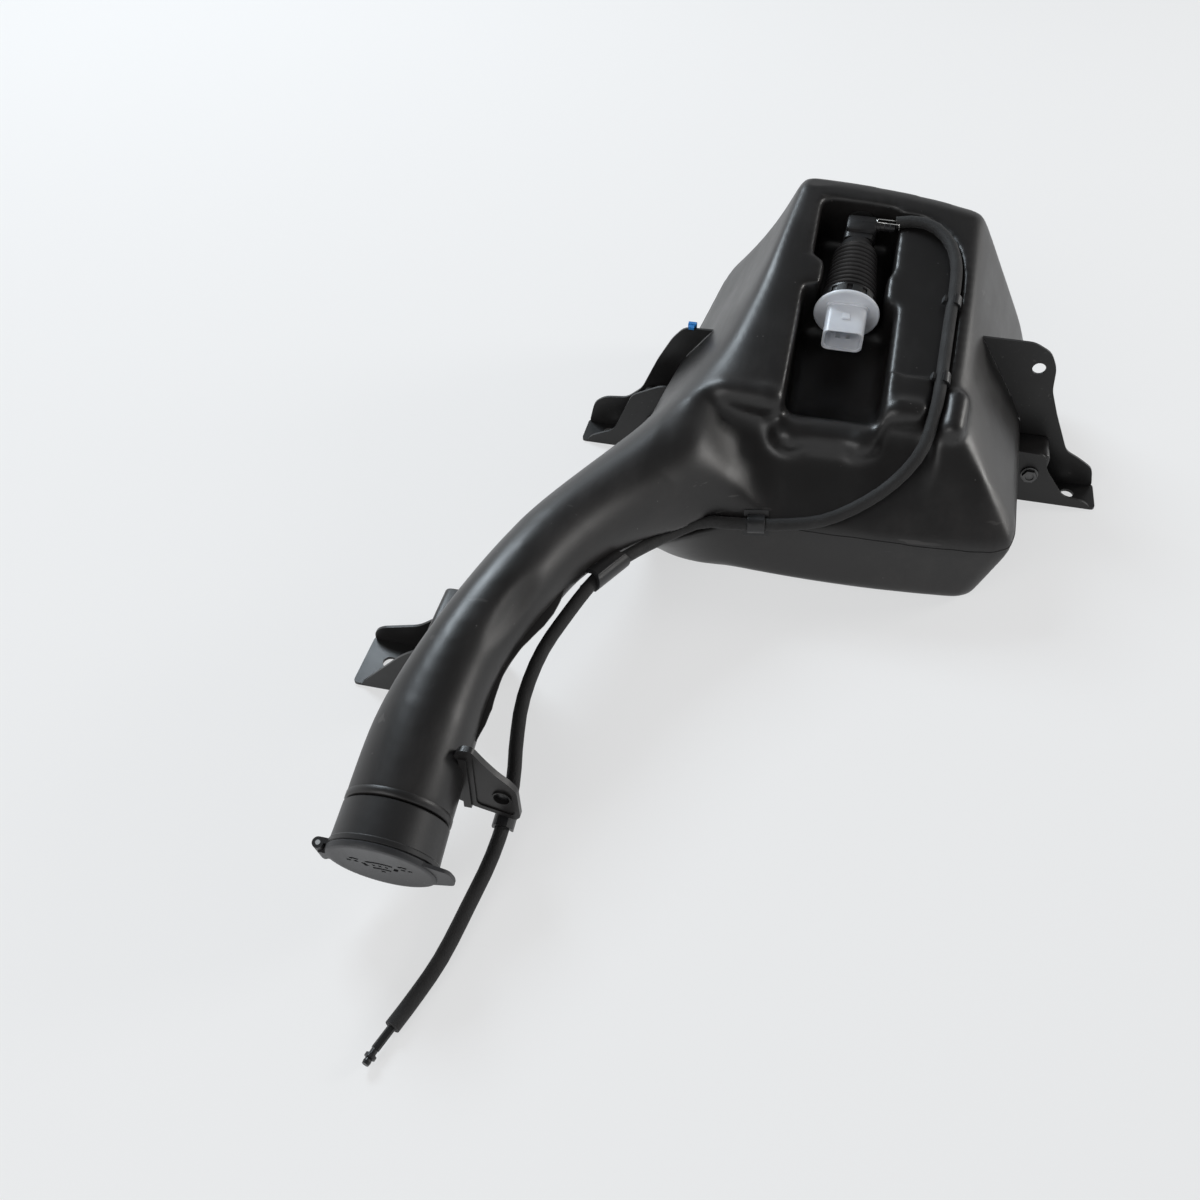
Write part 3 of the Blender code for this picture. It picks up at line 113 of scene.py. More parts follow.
NECK_SECTIONS = [
    ((-153, -97, 64), 34, 37),
    ((-176, -131, 70), 27, 29),
    ((-195.5, -172, 75), 24, 26),
    ((-207.5, -216, 75), 24.5, 26.5),
    ((-222, -258, 69), 22.8, 26),
    ((-228.5, -303, 58.5), 27.6, 28),
]
NECK_SIDES = 8
RING_SPREAD = 3 / (2 + math.cos(math.tau / NECK_SIDES))
LID_DIP = math.radians(15)
LID_SEAT = Vector((-229, -378, 39.5))
COLLAR_LENGTH = 24
COLLAR_FLARE = 0.8
GROOVE_WIDTH = 0.9
LIP_THICKNESS = 3.0

# Lid and collar, as in the part's source
SPIGOT_RADIUS = NECK_RADIUS - 3
MOUTH_RADIUS = SPIGOT_RADIUS - 2.7
LID_RADIUS = NECK_RADIUS + 1
LID_THICKNESS = 3.6
PLUG_DEPTH = 6.0
PLUG_WALL = 2.0
KNUCKLE_RADIUS = 3.0
HINGE_OFFSET = LID_RADIUS + KNUCKLE_RADIUS + 0.2
BARREL_LENGTH = 9.0
KNUCKLE_LENGTH = 4.0
TAB_LENGTH = 9
TAB_WIDTH = 24

# Pump, connector and recess, as in the part's source
PUMP_X = -46
PUMP_TAIL_Y = 125
PUMP_DEPTH = 19
FLANGE_RADIUS = 22.3
SLEEVE_LENGTH = 63
PUMP_Y = PUMP_TAIL_Y - SLEEVE_LENGTH
HEAD_LENGTH = 20
OUTLET_RADIUS = 3.0
OUTLET_RISE = 9.0
CLIP_WIRE = 0.5
SHROUD_WIDTH = 26
SHROUD_HEIGHT = 15
SHROUD_LENGTH = 27
SHROUD_WALL = 1.6
SOCKET_DEPTH = 17
RECESS_TAIL = -(SLEEVE_LENGTH + HEAD_LENGTH) - 7
RECESS_TOP = 50
UPPER_POCKET = dict(left=-29, right=27, tail=RECESS_TAIL, front=-30, floor=-24)
WAIST_POCKET = dict(left=-20, right=23.5, tail=-40, front=4, floor=-24)
LOWER_POCKET = dict(left=-31, right=32, tail=-6, front=135, floor=-29)
POCKET_ROUNDING = 7
LEDGE_FLOOR = 10.4
LEDGE_OUTLINE = [(20, RECESS_TAIL + 12), (50, RECESS_TAIL + 11.5), (60, RECESS_TAIL + 17), (69, -58),
                 (73.5, -38), (74, -15), (72.5, 12), (71.5, 50), (66, 60), (40, 62), (20, 52)]
LEDGE_ROUNDING = 2.5
RAMP_START = 62
RAMP_KNEE = 84
RAMP_RISE = 9
LIP_START = 96
LIP_HEIGHT = 5
RIDGE_ROUNDING = 5.0

OUTLET_FORM = [(0, 0), (3.8, 0), (3.8, 13.4), (3.4, 14), (3, 14), (3, 16.5), (3.4, 17), (3, 18.4), (3, 20.4),
               (3.4, 20.9), (2.6, 24), (1.8, 24), (1.8, 20), (0, 20)]

# Bellows, clips, lugs and marks, as in the part's source or finer
SLEEVE_RIM = [(19.0, -0.5), (19.3, -1.2), (19.3, -2.0), (17.8, -2.4), (17.8, -8.4), (18.9, -8.8), (18.9, -10.2)]
SLEEVE_BORE = 10.7
NOTCHES = (11, 0.62, 17.4, 19.1, -8.6, -1.8)
RIB_FORM = [(0.0, 2.5), (0.16, 2.4), (0.30, 1.5), (0.40, 0.4), (0.5, 0.0), (0.62, 0.1), (0.72, 0.7), (0.86, 2.0)]
BELLOWS_START = -10.8
BELLOWS_RIBS = 10
BELLOWS_LENGTH = 42
BELLOWS_WIDE = 19.0
BELLOWS_NARROW = 15.8
RIM_CLIPS = {"upper_rim_clip": 0.135, "lower_rim_clip": 0.225}
RIM_CLIP_LENGTH = 11
BRIDGE_PLACE = 0.455
BRIDGE_LENGTH = 15
SLEEVE_CLIP_PLACE = 0.616
SLEEVE_CLIP_LENGTH = 33
SHEET = 2.0
LUGS = [("left_lug", (-182, -140, 12, 42), 27, 52), ("right_lug", (70, 108, 10, 40), 30, 57),
        ("neck_lug", (-252, -228, 12, 60), -241, -202)]
SCREWS = [("left_screw", -171, 26, 27, 52), ("right_screw", 97, 24, 30, 57), ("neck_screw", -240, 24, -241, -202)]
SCREW_HEAD_HEIGHT = 4.0
SCREW_HEAD_RADIUS = 5.2
LEFT_WALL_Y = 51
HOSE_LUG_Y = -327
HOSE_LUG_OUTLINE = [(-208, 65), (-202, 74), (-196, 74), (-190, 65), (-184, 57.5), (-177.5, 51.5), (-173.5, 46),
                    (-172.5, 25), (-175, 22), (-196, 27), (-214, 34)]
HOSE_LUG_FACE = [(-196, 70), (-191, 61), (-185, 54), (-178, 46.5), (-176, 43), (-175.5, 27.5), (-177, 25.5), (-196, 30)]
HOSE_LUG_THICKNESS = 3.5
HOSE_LUG_HOLE = (-182, 39)
SEAM_WIDTH = 0.45
SEAM_LIFT = 0.08
SEAM_POINTS = 420
FLASH_ROUTE = [(-178, -203, 72), (-185, -225, 72), (-194, -255, 69), (-202, -285, 63), (-204, -306, 56)]
FLASH_HEIGHTS = [0.3, 3.0, 4.6, 4.8, 3.6, 2.6, 2.0, 1.9, 2.6, 3.4, 2.6, 0.4]
FLASH_POINTS = 45
EYELET = (-133.5, -112.3, 44)
PICTOGRAM_SCALE = 0.76
PICTOGRAM_LINE = 2.3
PICTOGRAM_DEPTH = 2.3
PICTOGRAM = [
    [(-9.3, 5.9), (-5.0, 7.3), (0, 7.8), (5.0, 7.3), (9.3, 5.9)],
    [(-11.7, 3.0), (-9.6, -2.8)],
    [(11.7, 3.0), (9.6, -2.8)],
    [(-6.4, -4.8), (-3.4, -4.0), (0, -3.7), (3.4, -4.0), (6.4, -4.8)],
    [(-5.4, 1.3), (-3.4, 1.6)], [(-1.0, 1.8), (1.0, 1.8)], [(3.4, 1.6), (5.4, 1.3)],
    [(-13.6, 8.2), (-16.6, 9.4), (-19.6, 8.2)], [(-21.0, 4.8), (-21.2, 2.0)], [(-16.6, 4.8), (-15.8, 2.0)],
    [(13.6, 8.2), (16.6, 9.4), (19.6, 8.2)], [(21.0, 4.8), (21.2, 2.0)], [(16.6, 4.8), (15.8, 2.0)],
    [(0, -7.8), (0, -10.6)],
]

# Share of the paper's white that is shown straight to the eye
PAPER_SHARE = 0.675
SKY_EDGE = 0.85
SKY_TOP = 0.12

# Detail of the visual shell
VOXEL = 2.1
SMOOTH_STEPS = 7
CHANNEL_CLEARANCE = 1.2
BORE_RADIUS = 21.5
VALLEY_SEAM = (-93, 47)
VALLEY_SLOPE = 0.69
VALLEY_BACK = [(-150, -42), (-118, -41), (-87, -40), (-79, -44), (-70, -47), (-22, -47), (-14, -42), (-8, -33),
               (12, -31), (19, -36), (26, -50), (40, -50)]
VALLEY_WALL = 3.2
VALLEY_FOOT = 4.5
VALLEY_LEFT = (-84, -45, 0.55)
VALLEY_RIGHT = 16
NECK_BLEND = 70
RIGHT_BLEND = 14
BLEND_START = -96
BLEND_REACH = 20
BLEND_SOFTNESS = 15
VALLEY_COLUMNS = [-160 + 2.4 * i for i in range(82)]
VALLEY_ROWS = [-112 + 2.2 * i for i in range(41)]
OVERHEAD = 400
SOFT_ZONES = [[(-150, -100, 56), (34, -12, 118)], [(-96, -40, 60), (-2, 150, 160)]]
SOFT_STEPS = 14
ZONE_EDGE = 8
BLEND_ZONES = [[(-150, -112, 50), (-90, -48, 115)], [(-245, -312, 20), (-158, -170, 118)]]
BLEND_STEPS = 34
BROW_STEPS = 110
LOBES = {
    "lip_roll": ((-68, -42.5, 83.5), (-25, -41, 82.5), 9.2),
    "left_lip_lobe": ((-71, -43, 82.5), (-68.5, -43.5, 82), 11.8),
    "right_lip_lobe": ((-25, -42, 81.5), (-22.5, -41.5, 81.5), 11.4),
    "left_shoulder": ((-115, -32, 102.5), (-86, -32, 101), 10.5),
    "right_shoulder": ((-5, -26, 99), (9, -24, 98), 10.5),
    "rim_lobe": ((31, -12, 102.5), (29.5, -33, 96.5), 9.0),
}
DENT = ((-187.4, -247.6, 99.0), (-17.8, -65.8, -9.2), 18, 54)


def smooth_route(points, count):
    route = [Vector(p) for p in points]
    padded = [2 * route[0] - route[1], *route, 2 * route[-1] - route[-2]]
    fine = []
    for i in range(1, len(padded) - 2):
        a, b, c, d = padded[i - 1:i + 3]
        for step in range(12):
            t = step / 12
            fine.append(0.5 * (2 * b + (c - a) * t + (2 * a - 5 * b + 4 * c - d) * t ** 2
                               + (3 * b - a - 3 * c + d) * t ** 3))
    fine.append(route[-1])
    lengths = [0.0]
    for a, b in zip(fine, fine[1:]):
        lengths.append(lengths[-1] + (b - a).length)
    placed = []
    index = 0
    for i in range(count):
        target = lengths[-1] * i / (count - 1)
        while index < len(fine) - 2 and lengths[index + 1] < target:
            index += 1
        share = (target - lengths[index]) / (lengths[index + 1] - lengths[index])
        placed.append(fine[index].lerp(fine[index + 1], share))
    return placed


def face_height(x, y):
    fall = math.tan(FACE_ANGLE) * (FACE_ORIGIN.y - y)
    return TANK_HEIGHT - FACE_CANT * (x - FACE_ORIGIN.x) - fall


def link(obj):
    bpy.context.scene.collection.objects.link(obj)
    return obj


def carried(obj, node, body="reservoir", stands=True):
    """The piece rides its body, in the CAD node's place or beside it."""
    if stands:
        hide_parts(node)
    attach(obj, body)
    return obj


# Camera
def make_camera():
    data = bpy.data.cameras.new("photo_camera")
    data.sensor_width = 36
    data.sensor_fit = "HORIZONTAL"
    data.lens = 36 * CAMERA_FOCAL / PHOTO_SIZE
    data.clip_start = 0.01
    camera = link(bpy.data.objects.new("photo_camera", data))
    level = math.cos(CAMERA_PITCH)
    look = Vector((-math.sin(CAMERA_YAW) * level, math.cos(CAMERA_YAW) * level, -math.sin(CAMERA_PITCH)))
    camera.location = (CAMERA_PLACE + ORIGIN) * MM
    camera.rotation_euler = look.to_track_quat("-Z", "Y").to_euler()
    bpy.context.scene.camera = camera


make_camera()


# Materials
class Nodes:
    """A material's node tree, with short calls for the nodes that the finishes use."""

    def __init__(self, name):
        self.material = bpy.data.materials.new(name)
        self.material.use_nodes = True
        self.tree = self.material.node_tree
        self.shader = self.tree.nodes["Principled BSDF"]
        self.coords = self.tree.nodes.new("ShaderNodeTexCoord").outputs["Object"]

    def wire(self, output, socket):
        self.tree.links.new(output, socket)

    def node(self, kind, inputs, output=0, **settings):
        """A new node with each input wired or set, and one of its outputs."""
        node = self.tree.nodes.new("ShaderNode" + kind)
        for name, value in settings.items():
            setattr(node, name, value)
        for name, value in inputs.items():
            if isinstance(value, bpy.types.NodeSocket):
                self.wire(value, node.inputs[name])
            else:
                node.inputs[name].default_value = value
        return node.outputs[output]

    def noise(self, scale, detail=3.0, roughness=0.5, stretch=None):
        coords = self.coords
        if stretch:
            coords = self.node("Mapping", {"Scale": stretch, "Vector": coords})
        return self.node("TexNoise", {"Scale": scale, "Detail": detail, "Roughness": roughness, "Vector": coords})

    def cells(self, scale):
        return self.node("TexVoronoi", {"Scale": scale, "Vector": self.coords})

    def ramp(self, factor, low, high, low_value, high_value):
        return self.node("MapRange", {"From Min": low, "From Max": high, "To Min": low_value, "To Max": high_value,
                                      "Value": factor})

    def mix(self, factor, first, second):
        first, second = ((*v, 1.0) if isinstance(v, tuple) else v for v in (first, second))
        return self.node("Mix", {6: first, 7: second, 0: factor}, 2, data_type="RGBA")

    def math(self, operation, first, second):
        return self.node("Math", {0: first, 1: second}, operation=operation)

    def level(self, name, value):
        self.shader.inputs[name].default_value = value

    def paint(self, factor, first, second):
        self.wire(self.mix(factor, first, second), self.shader.inputs["Base Color"])

    def gloss(self, factor, low, high):
        """Roughness between two values, over the middle of a noise."""
        self.wire(self.ramp(factor, 0.3, 0.7, low, high), self.shader.inputs["Roughness"])

    def bump(self, height, distance, strength=1.0):
        normal = self.node("Bump", {"Strength": strength, "Distance": distance, "Height": height})
        self.wire(normal, self.shader.inputs["Normal"])


def plastic(name, colour, worn, roughness, grain=2200, depth=0.00004, variation=0.07):
    """Moulded plastic: fine grain, cloudy gloss, faint scuffs, dust in broad patches and a few pale specks."""
    m = Nodes(name)
    cloud = m.noise(9, 4)
    scuff = m.noise(60, 5, 0.65, (1.0, 0.18, 1.0))
    dust = m.ramp(m.math("MULTIPLY", cloud, scuff), 0.24, 0.42, 0.0, 1.0)
    specks = m.math("MULTIPLY", m.ramp(m.cells(150), 0.05, 0.085, 1.0, 0.0),
                    m.ramp(m.noise(31, 2), 0.56, 0.62, 0.0, 0.6))
    scratches = m.math("MULTIPLY", m.ramp(m.noise(95, 2, 0.5, (0.22, 1.0, 2.4)), 0.69, 0.72, 0.0, 1.0),
                       m.ramp(m.noise(14, 2), 0.52, 0.62, 0.0, 0.25))
    marks = m.math("MAXIMUM", specks, scratches)
    m.paint(marks, m.mix(dust, colour, worn), tuple(min(0.8, c * 4 + 0.05) for c in worn))
    spread = m.math("ADD", m.ramp(cloud, 0.3, 0.7, roughness - variation, roughness + variation),
                    m.ramp(scuff, 0.35, 0.75, -0.03, 0.05))
    m.wire(spread, m.shader.inputs["Roughness"])
    m.level("Specular IOR Level", 0.5)
    m.bump(m.math("ADD", m.noise(grain, 2), m.math("MULTIPLY", m.noise(45, 2), 0.6)), depth, 0.7)
    return m.material


def rubber(name, colour, roughness, grain=900, depth=0.0001):
    m = Nodes(name)
    cloud = m.noise(30, 4)
    m.paint(m.ramp(cloud, 0.35, 0.7, 0.0, 1.0), colour, tuple(c * 1.8 + 0.004 for c in colour))
    m.gloss(cloud, roughness - 0.08, roughness + 0.08)
    m.level("Specular IOR Level", 0.38)
    m.bump(m.noise(grain, 4), depth, 0.8)
    return m.material


def foam(name):
    """Closed-cell foam sleeve: a soft skin with fine cells."""
    m = Nodes(name)
    cells = m.cells(1500)
    cloud = m.noise(40, 3)
    m.paint(cloud, (0.009, 0.0085, 0.0085), (0.019, 0.018, 0.018))
    m.gloss(cloud, 0.62, 0.82)
    m.level("Sheen Weight", 0.05)
    m.bump(m.math("ADD", cells, m.math("MULTIPLY", m.noise(260, 3), 1.4)), 0.00035, 0.6)
    return m.material


def metal(name, colour, roughness, stretch=(1, 1, 30), metallic=1.0):
    m = Nodes(name)
    lines = m.noise(420, 3, 0.6, stretch)
    m.level("Metallic", metallic)
    m.paint(m.ramp(lines, 0.3, 0.7, 0.0, 1.0), colour, tuple(c * 0.7 for c in colour))
    m.gloss(lines, roughness - 0.06, roughness + 0.1)
    m.bump(lines, 0.00003, 0.5)
    return m.material


def coated_steel(name):
    """Black dip coating on pressed steel, a little worn on its edges."""
    m = Nodes(name)
    cloud = m.noise(22, 4)
    wear = m.math("MULTIPLY", m.ramp(m.noise(420, 3), 0.66, 0.72, 0.0, 1.0), m.ramp(cloud, 0.45, 0.6, 0.0, 0.7))
    m.paint(wear, (0.0125, 0.012, 0.012), (0.06, 0.058, 0.055))
    m.gloss(cloud, 0.34, 0.5)
    m.level("Metallic", 0.15)
    m.bump(m.math("ADD", m.noise(900, 3), m.math("MULTIPLY", m.noise(160, 2), 0.5)), 0.00003, 0.5)
    return m.material


def milky_plastic(name):
    """Unpigmented nylon: white, slightly translucent, bluish in its thicker places."""
    m = Nodes(name)
    cloud = m.noise(55, 3)
    m.paint(m.ramp(cloud, 0.3, 0.7, 0.0, 1.0), (0.66, 0.68, 0.73), (0.78, 0.80, 0.84))
    m.gloss(cloud, 0.30, 0.42)
    m.level("Subsurface Weight", 0.25)
    m.level("Subsurface Radius", (0.003, 0.0035, 0.004))
    m.level("Subsurface Scale", 1.0)
    m.bump(m.noise(600, 2), 0.00003, 0.5)
    return m.material


BLACK = (0.0130, 0.0120, 0.0118)
WORN = (0.022, 0.020, 0.0195)
TANK_LOOK = plastic("tank_plastic", BLACK, WORN, 0.38)
COLLAR_LOOK = plastic("collar_plastic", (0.0165, 0.0158, 0.016), WORN, 0.42)
# Near-black for the bars in the pictogram's grooves: painted shade for the recesses
PICTOGRAM_SHADE_LOOK = rubber("pictogram_shade", (0.0015, 0.0015, 0.0016), 0.9)
LID_LOOK = plastic("lid_plastic", (0.024, 0.024, 0.026), (0.036, 0.036, 0.037), 0.50, 1500, 0.00009)
SMALL_LOOK = plastic("clip_plastic", (0.015, 0.015, 0.016), WORN, 0.38)
PUMP_LOOK = plastic("pump_head_plastic", (0.014, 0.014, 0.015), WORN, 0.36)
BLUE_LOOK = plastic("blue_plastic", (0.01, 0.21, 0.62), (0.03, 0.25, 0.6), 0.42)
SLEEVE_LOOK = rubber("sleeve_rubber", (0.011, 0.010, 0.010), 0.36, 1100, 0.00004)
RUBBER_LOOK = rubber("seal_rubber", (0.012, 0.012, 0.012), 0.6)
TUBE_LOOK = rubber("tube_rubber", (0.008, 0.008, 0.008), 0.22, 400, 0.00003)
FOAM_LOOK = foam("foam_sleeve")
STEEL_LOOK = coated_steel("black_coated_steel")
WHITE_LOOK = milky_plastic("milky_nylon")
WHITE_INSIDE_LOOK = plastic("white_plastic", (0.7, 0.7, 0.68), (0.62, 0.62, 0.6), 0.45)
WIRE_LOOK = metal("bright_wire", (0.82, 0.82, 0.80), 0.2)
SCREW_LOOK = metal("dark_plated_steel", (0.12, 0.12, 0.12), 0.38)
PIN_LOOK = metal("tinned_steel", (0.86, 0.86, 0.85), 0.42)
CAN_LOOK = metal("motor_steel", (0.6, 0.6, 0.6), 0.32)
COPPER_LOOK = metal("copper_windings", (0.75, 0.4, 0.22), 0.35, (1, 1, 60))

LOOKS = [
    (TANK_LOOK, "washer_tank"), (COLLAR_LOOK, "filler_collar"), (LID_LOOK, "filler_lid"),
    (PIN_LOOK, "hinge_pin connector_pin_a connector_pin_b"), (RUBBER_LOOK, "lid_seal inlet_grommet"),
    (SLEEVE_LOOK, "pump_sleeve"), (CAN_LOOK, "motor_can"), (PUMP_LOOK, "pump_head hose_fitting"),
    (COPPER_LOOK, "motor_rotor"), (WHITE_INSIDE_LOOK, "pump_impeller inlet_strainer"), (WIRE_LOOK, "outlet_clip"),
    (WHITE_LOOK, "pump_end_cap"), (FOAM_LOOK, "washer_hose"), (TUBE_LOOK, "hose_tube"),
    (SMALL_LOOK, "upper_rim_clip lower_rim_clip bridge_clip neck_sleeve_clip lug_hose_clip"),
    (STEEL_LOOK, "left_bracket right_bracket neck_bracket"), (SCREW_LOOK, "left_screw right_screw neck_screw"),
    (BLUE_LOOK, "blue_clip"),
]


def dress(obj, look):
    obj.data.materials.clear()
    obj.data.materials.append(look)
    return obj


def smooth(obj, angle=None):
    obj.data.shade_smooth()
    if angle:
        obj.data.set_sharp_from_angle(angle=math.radians(angle))
    return obj


def soften(obj, width, segments=2, angle=35):
    """Rounds a solid's edges and keeps its flats flat."""
    modifier = obj.modifiers.new("edge_rounding", "BEVEL")
    modifier.width = width * MM
    modifier.segments = segments
    modifier.limit_method = "ANGLE"
    modifier.angle_limit = math.radians(angle)
    modifier.harden_normals = True


for node_look, node_names in LOOKS:
    for node_name in node_names.split():
        smooth(dress(NODES[node_name], node_look), 32)


# Hose: the foam sleeve is a cord along its route, with its tube and barbed fitting on it
def tube_curve(name, points, radius, sides=5, look=None):
    data = bpy.data.curves.new(name, "CURVE")
    data.dimensions = "3D"
    data.bevel_depth = radius * MM
    data.bevel_resolution = sides
    data.use_fill_caps = True
    spline = data.splines.new("POLY")
    spline.points.add(len(points) - 1)
    for point, place in zip(spline.points, points):
        point.co = (*place * MM, 1)
    obj = link(bpy.data.objects.new(name, data))
    if look:
        obj.data.materials.append(look)
    return obj


def make_hose():
    route = [p + ORIGIN for p in smooth_route(HOSE_ROUTE, HOSE_POINTS)]
    hose = tube_curve("foam_hose", route, HOSE_RADIUS, 6, FOAM_LOOK)
    carried(hose, "washer_hose")


make_hose()


# Shapes
def shift(x=0, y=0, z=0):
    """A move by millimetres."""
    return Matrix.Translation(Vector((x, y, z)) * MM)


def turn(angle, axis):
    return Matrix.Rotation(angle, 4, axis)


def facing(direction):
    """A turn that brings Z to the direction."""
    return Vector(direction).to_track_quat("Z", "Y").to_matrix().to_4x4()


def mesh_object(name, mesh, matrix):
    obj = link(bpy.data.objects.new(name, mesh))
    obj.matrix_world = matrix
    return obj


def bmesh_object(name, bm, matrix=Matrix.Identity(4), scale=1):
    bmesh.ops.recalc_face_normals(bm, faces=bm.faces)
    bm.transform(Matrix.Scale(scale, 4))
    mesh = bpy.data.meshes.new(name)
    bm.normal_update()
    bm.to_mesh(mesh)
    bm.free()
    return mesh_object(name, mesh, matrix)


def band(bm, near, far):
    """Faces between two closed rings of vertices."""
    for i in range(len(near)):
        j = (i + 1) % len(near)
        bm.faces.new((near[i], near[j], far[j], far[i]))


def sweep(bm, sections):
    """A closed body through its sections, each a loop of points."""
    rings = [[bm.verts.new([c * MM for c in point]) for point in section] for section in sections]
    bm.faces.new(rings[0][::-1])
    bm.faces.new(rings[-1])
    for near, far in zip(rings, rings[1:]):
        band(bm, near, far)


def prism(bm, outline, low, high):
    sweep(bm, [[(x, y, z) for x, y in outline] for z in (low, high)])


def box(name, low, high, matrix):
    (x0, y0, z0), (x1, y1, z1) = low, high
    return plate(name, [(x0, y0), (x1, y0), (x1, y1), (x0, y1)], z0, z1, matrix)


def turned(name, profile, matrix, segments=96):
    """Turns a closed loop of (radius, z) points about the local Z axis."""
    bm = bmesh.new()
    rings = []
    for step in range(segments):
        angle = math.tau * step / segments
        c, s = math.cos(angle), math.sin(angle)
        rings.append([(r, bm.verts.new((r * c * MM, r * s * MM, z * MM))) for r, z in profile])
    count = len(profile)
    for step in range(segments):
        near, far = rings[step], rings[(step + 1) % segments]
        for i in range(count):
            j = (i + 1) % count
            if near[i][0] > 1e-4 or near[j][0] > 1e-4:
                bm.faces.new((near[i][1], far[i][1], far[j][1], near[j][1]))
    bmesh.ops.remove_doubles(bm, verts=bm.verts, dist=1e-6)
    return bmesh_object(name, bm, matrix)


def plate(name, outline, low, high, matrix):
    """A plate between two heights from an outline in its own XY plane."""
    bm = bmesh.new()
    prism(bm, outline, low, high)
    return bmesh_object(name, bm, matrix)


def arc(radius, start, end, count):
    angles = [math.radians(start + (end - start) * i / (count - 1)) for i in range(count)]
    return [(radius * math.cos(a), radius * math.sin(a)) for a in angles]


def filleted(outline, radius, steps=5):
    """The outline with each corner rounded, by up to a third of its shorter side."""
    rounded = []
    count = len(outline)
    for i, corner in enumerate(outline):
        corner = Vector(corner)
        before = Vector(outline[i - 1]) - corner
        after = Vector(outline[(i + 1) % count]) - corner
        reach = min(radius, before.length / 3, after.length / 3)
        start = corner + before.normalized() * reach
        end = corner + after.normalized() * reach
        for step in range(steps + 1):
            t = step / steps
            rounded.append(tuple(start.lerp(corner, t).lerp(corner.lerp(end, t), t)))
    return rounded


def boolean(obj, other, operation="DIFFERENCE"):
    modifier = obj.modifiers.new(operation.lower(), "BOOLEAN")
    modifier.object = other
    modifier.operation = operation
    modifier.solver = "EXACT"


def bevel(obj, width, segments, angle=None):
    settings = {"limit_method": "ANGLE", "angle_limit": math.radians(angle)} if angle else {"limit_method": "NONE"}
    modify(obj, "BEVEL", width=width * MM, segments=segments, **settings)


def modify(obj, kind, **settings):
    modifier = obj.modifiers.new(kind.lower(), kind)
    for name, value in settings.items():
        setattr(modifier, name, value)


def baked(obj, name, cutters=()):
    """A new object with the modifiers applied. The guide and its cutters go."""
    bpy.context.view_layer.update()
    graph = bpy.context.evaluated_depsgraph_get()
    mesh = bpy.data.meshes.new_from_object(obj.evaluated_get(graph))
    matrix = obj.matrix_world.copy()
    for old in (obj, *cutters):
        bpy.data.objects.remove(old)
    mesh.name = name
    return mesh_object(name, mesh, matrix)


# Frames of the drawing, the pump and the lid
DRAWING = shift(*ORIGIN)
PUMP_PLACE = Vector((PUMP_X, PUMP_Y, face_height(PUMP_X, PUMP_Y) - PUMP_DEPTH / math.cos(FACE_ANGLE)))
PUMP = DRAWING @ shift(*PUMP_PLACE) @ turn(QUARTER + FACE_ANGLE, "X")
LID = DRAWING @ shift(*LID_SEAT) @ turn(QUARTER + LID_DIP, "X")
NECK_AXIS = Vector((0, -math.cos(LID_DIP), -math.sin(LID_DIP)))
ROUTE = smooth_route(HOSE_ROUTE, HOSE_POINTS)


# Tank: the cage of the part's source, finer, with the recess pressed in and every edge rounded as a blown shell's is
def body_ring(floor, right, top, slope, left):
    ring = [Vector((x, y, 0)) for x, y in floor]
    ring.append(Vector(right))
    for x, y, drop in reversed(top):
        ring.append(Vector((x, y, face_height(x, y) - drop)))
    return ring + [Vector(slope), Vector(left)]


def neck_rings():
    end = LID_SEAT - NECK_AXIS * COLLAR_LENGTH
    sections = [(Vector(c), w, h) for c, w, h in NECK_SECTIONS]
    sections += [(end - NECK_AXIS * NECK_RADIUS, NECK_RADIUS, NECK_RADIUS), (end, NECK_RADIUS, NECK_RADIUS)]
    centres = [Vector((-140, -50, 60))] + [s[0] for s in sections] + [end + NECK_AXIS * NECK_RADIUS]
    rings = []
    for i, (centre, width, height) in enumerate(sections):
        along = (centres[i + 2] - centres[i]).normalized()
        across = Vector((0, 0, 1)).cross(along).normalized()
        up = along.cross(across)
        angles = [math.pi - math.tau * side / NECK_SIDES for side in range(NECK_SIDES)]
        rings.append([centre + RING_SPREAD * (across * width * math.cos(a) + up * height * math.sin(a))
                      for a in angles])
    return rings


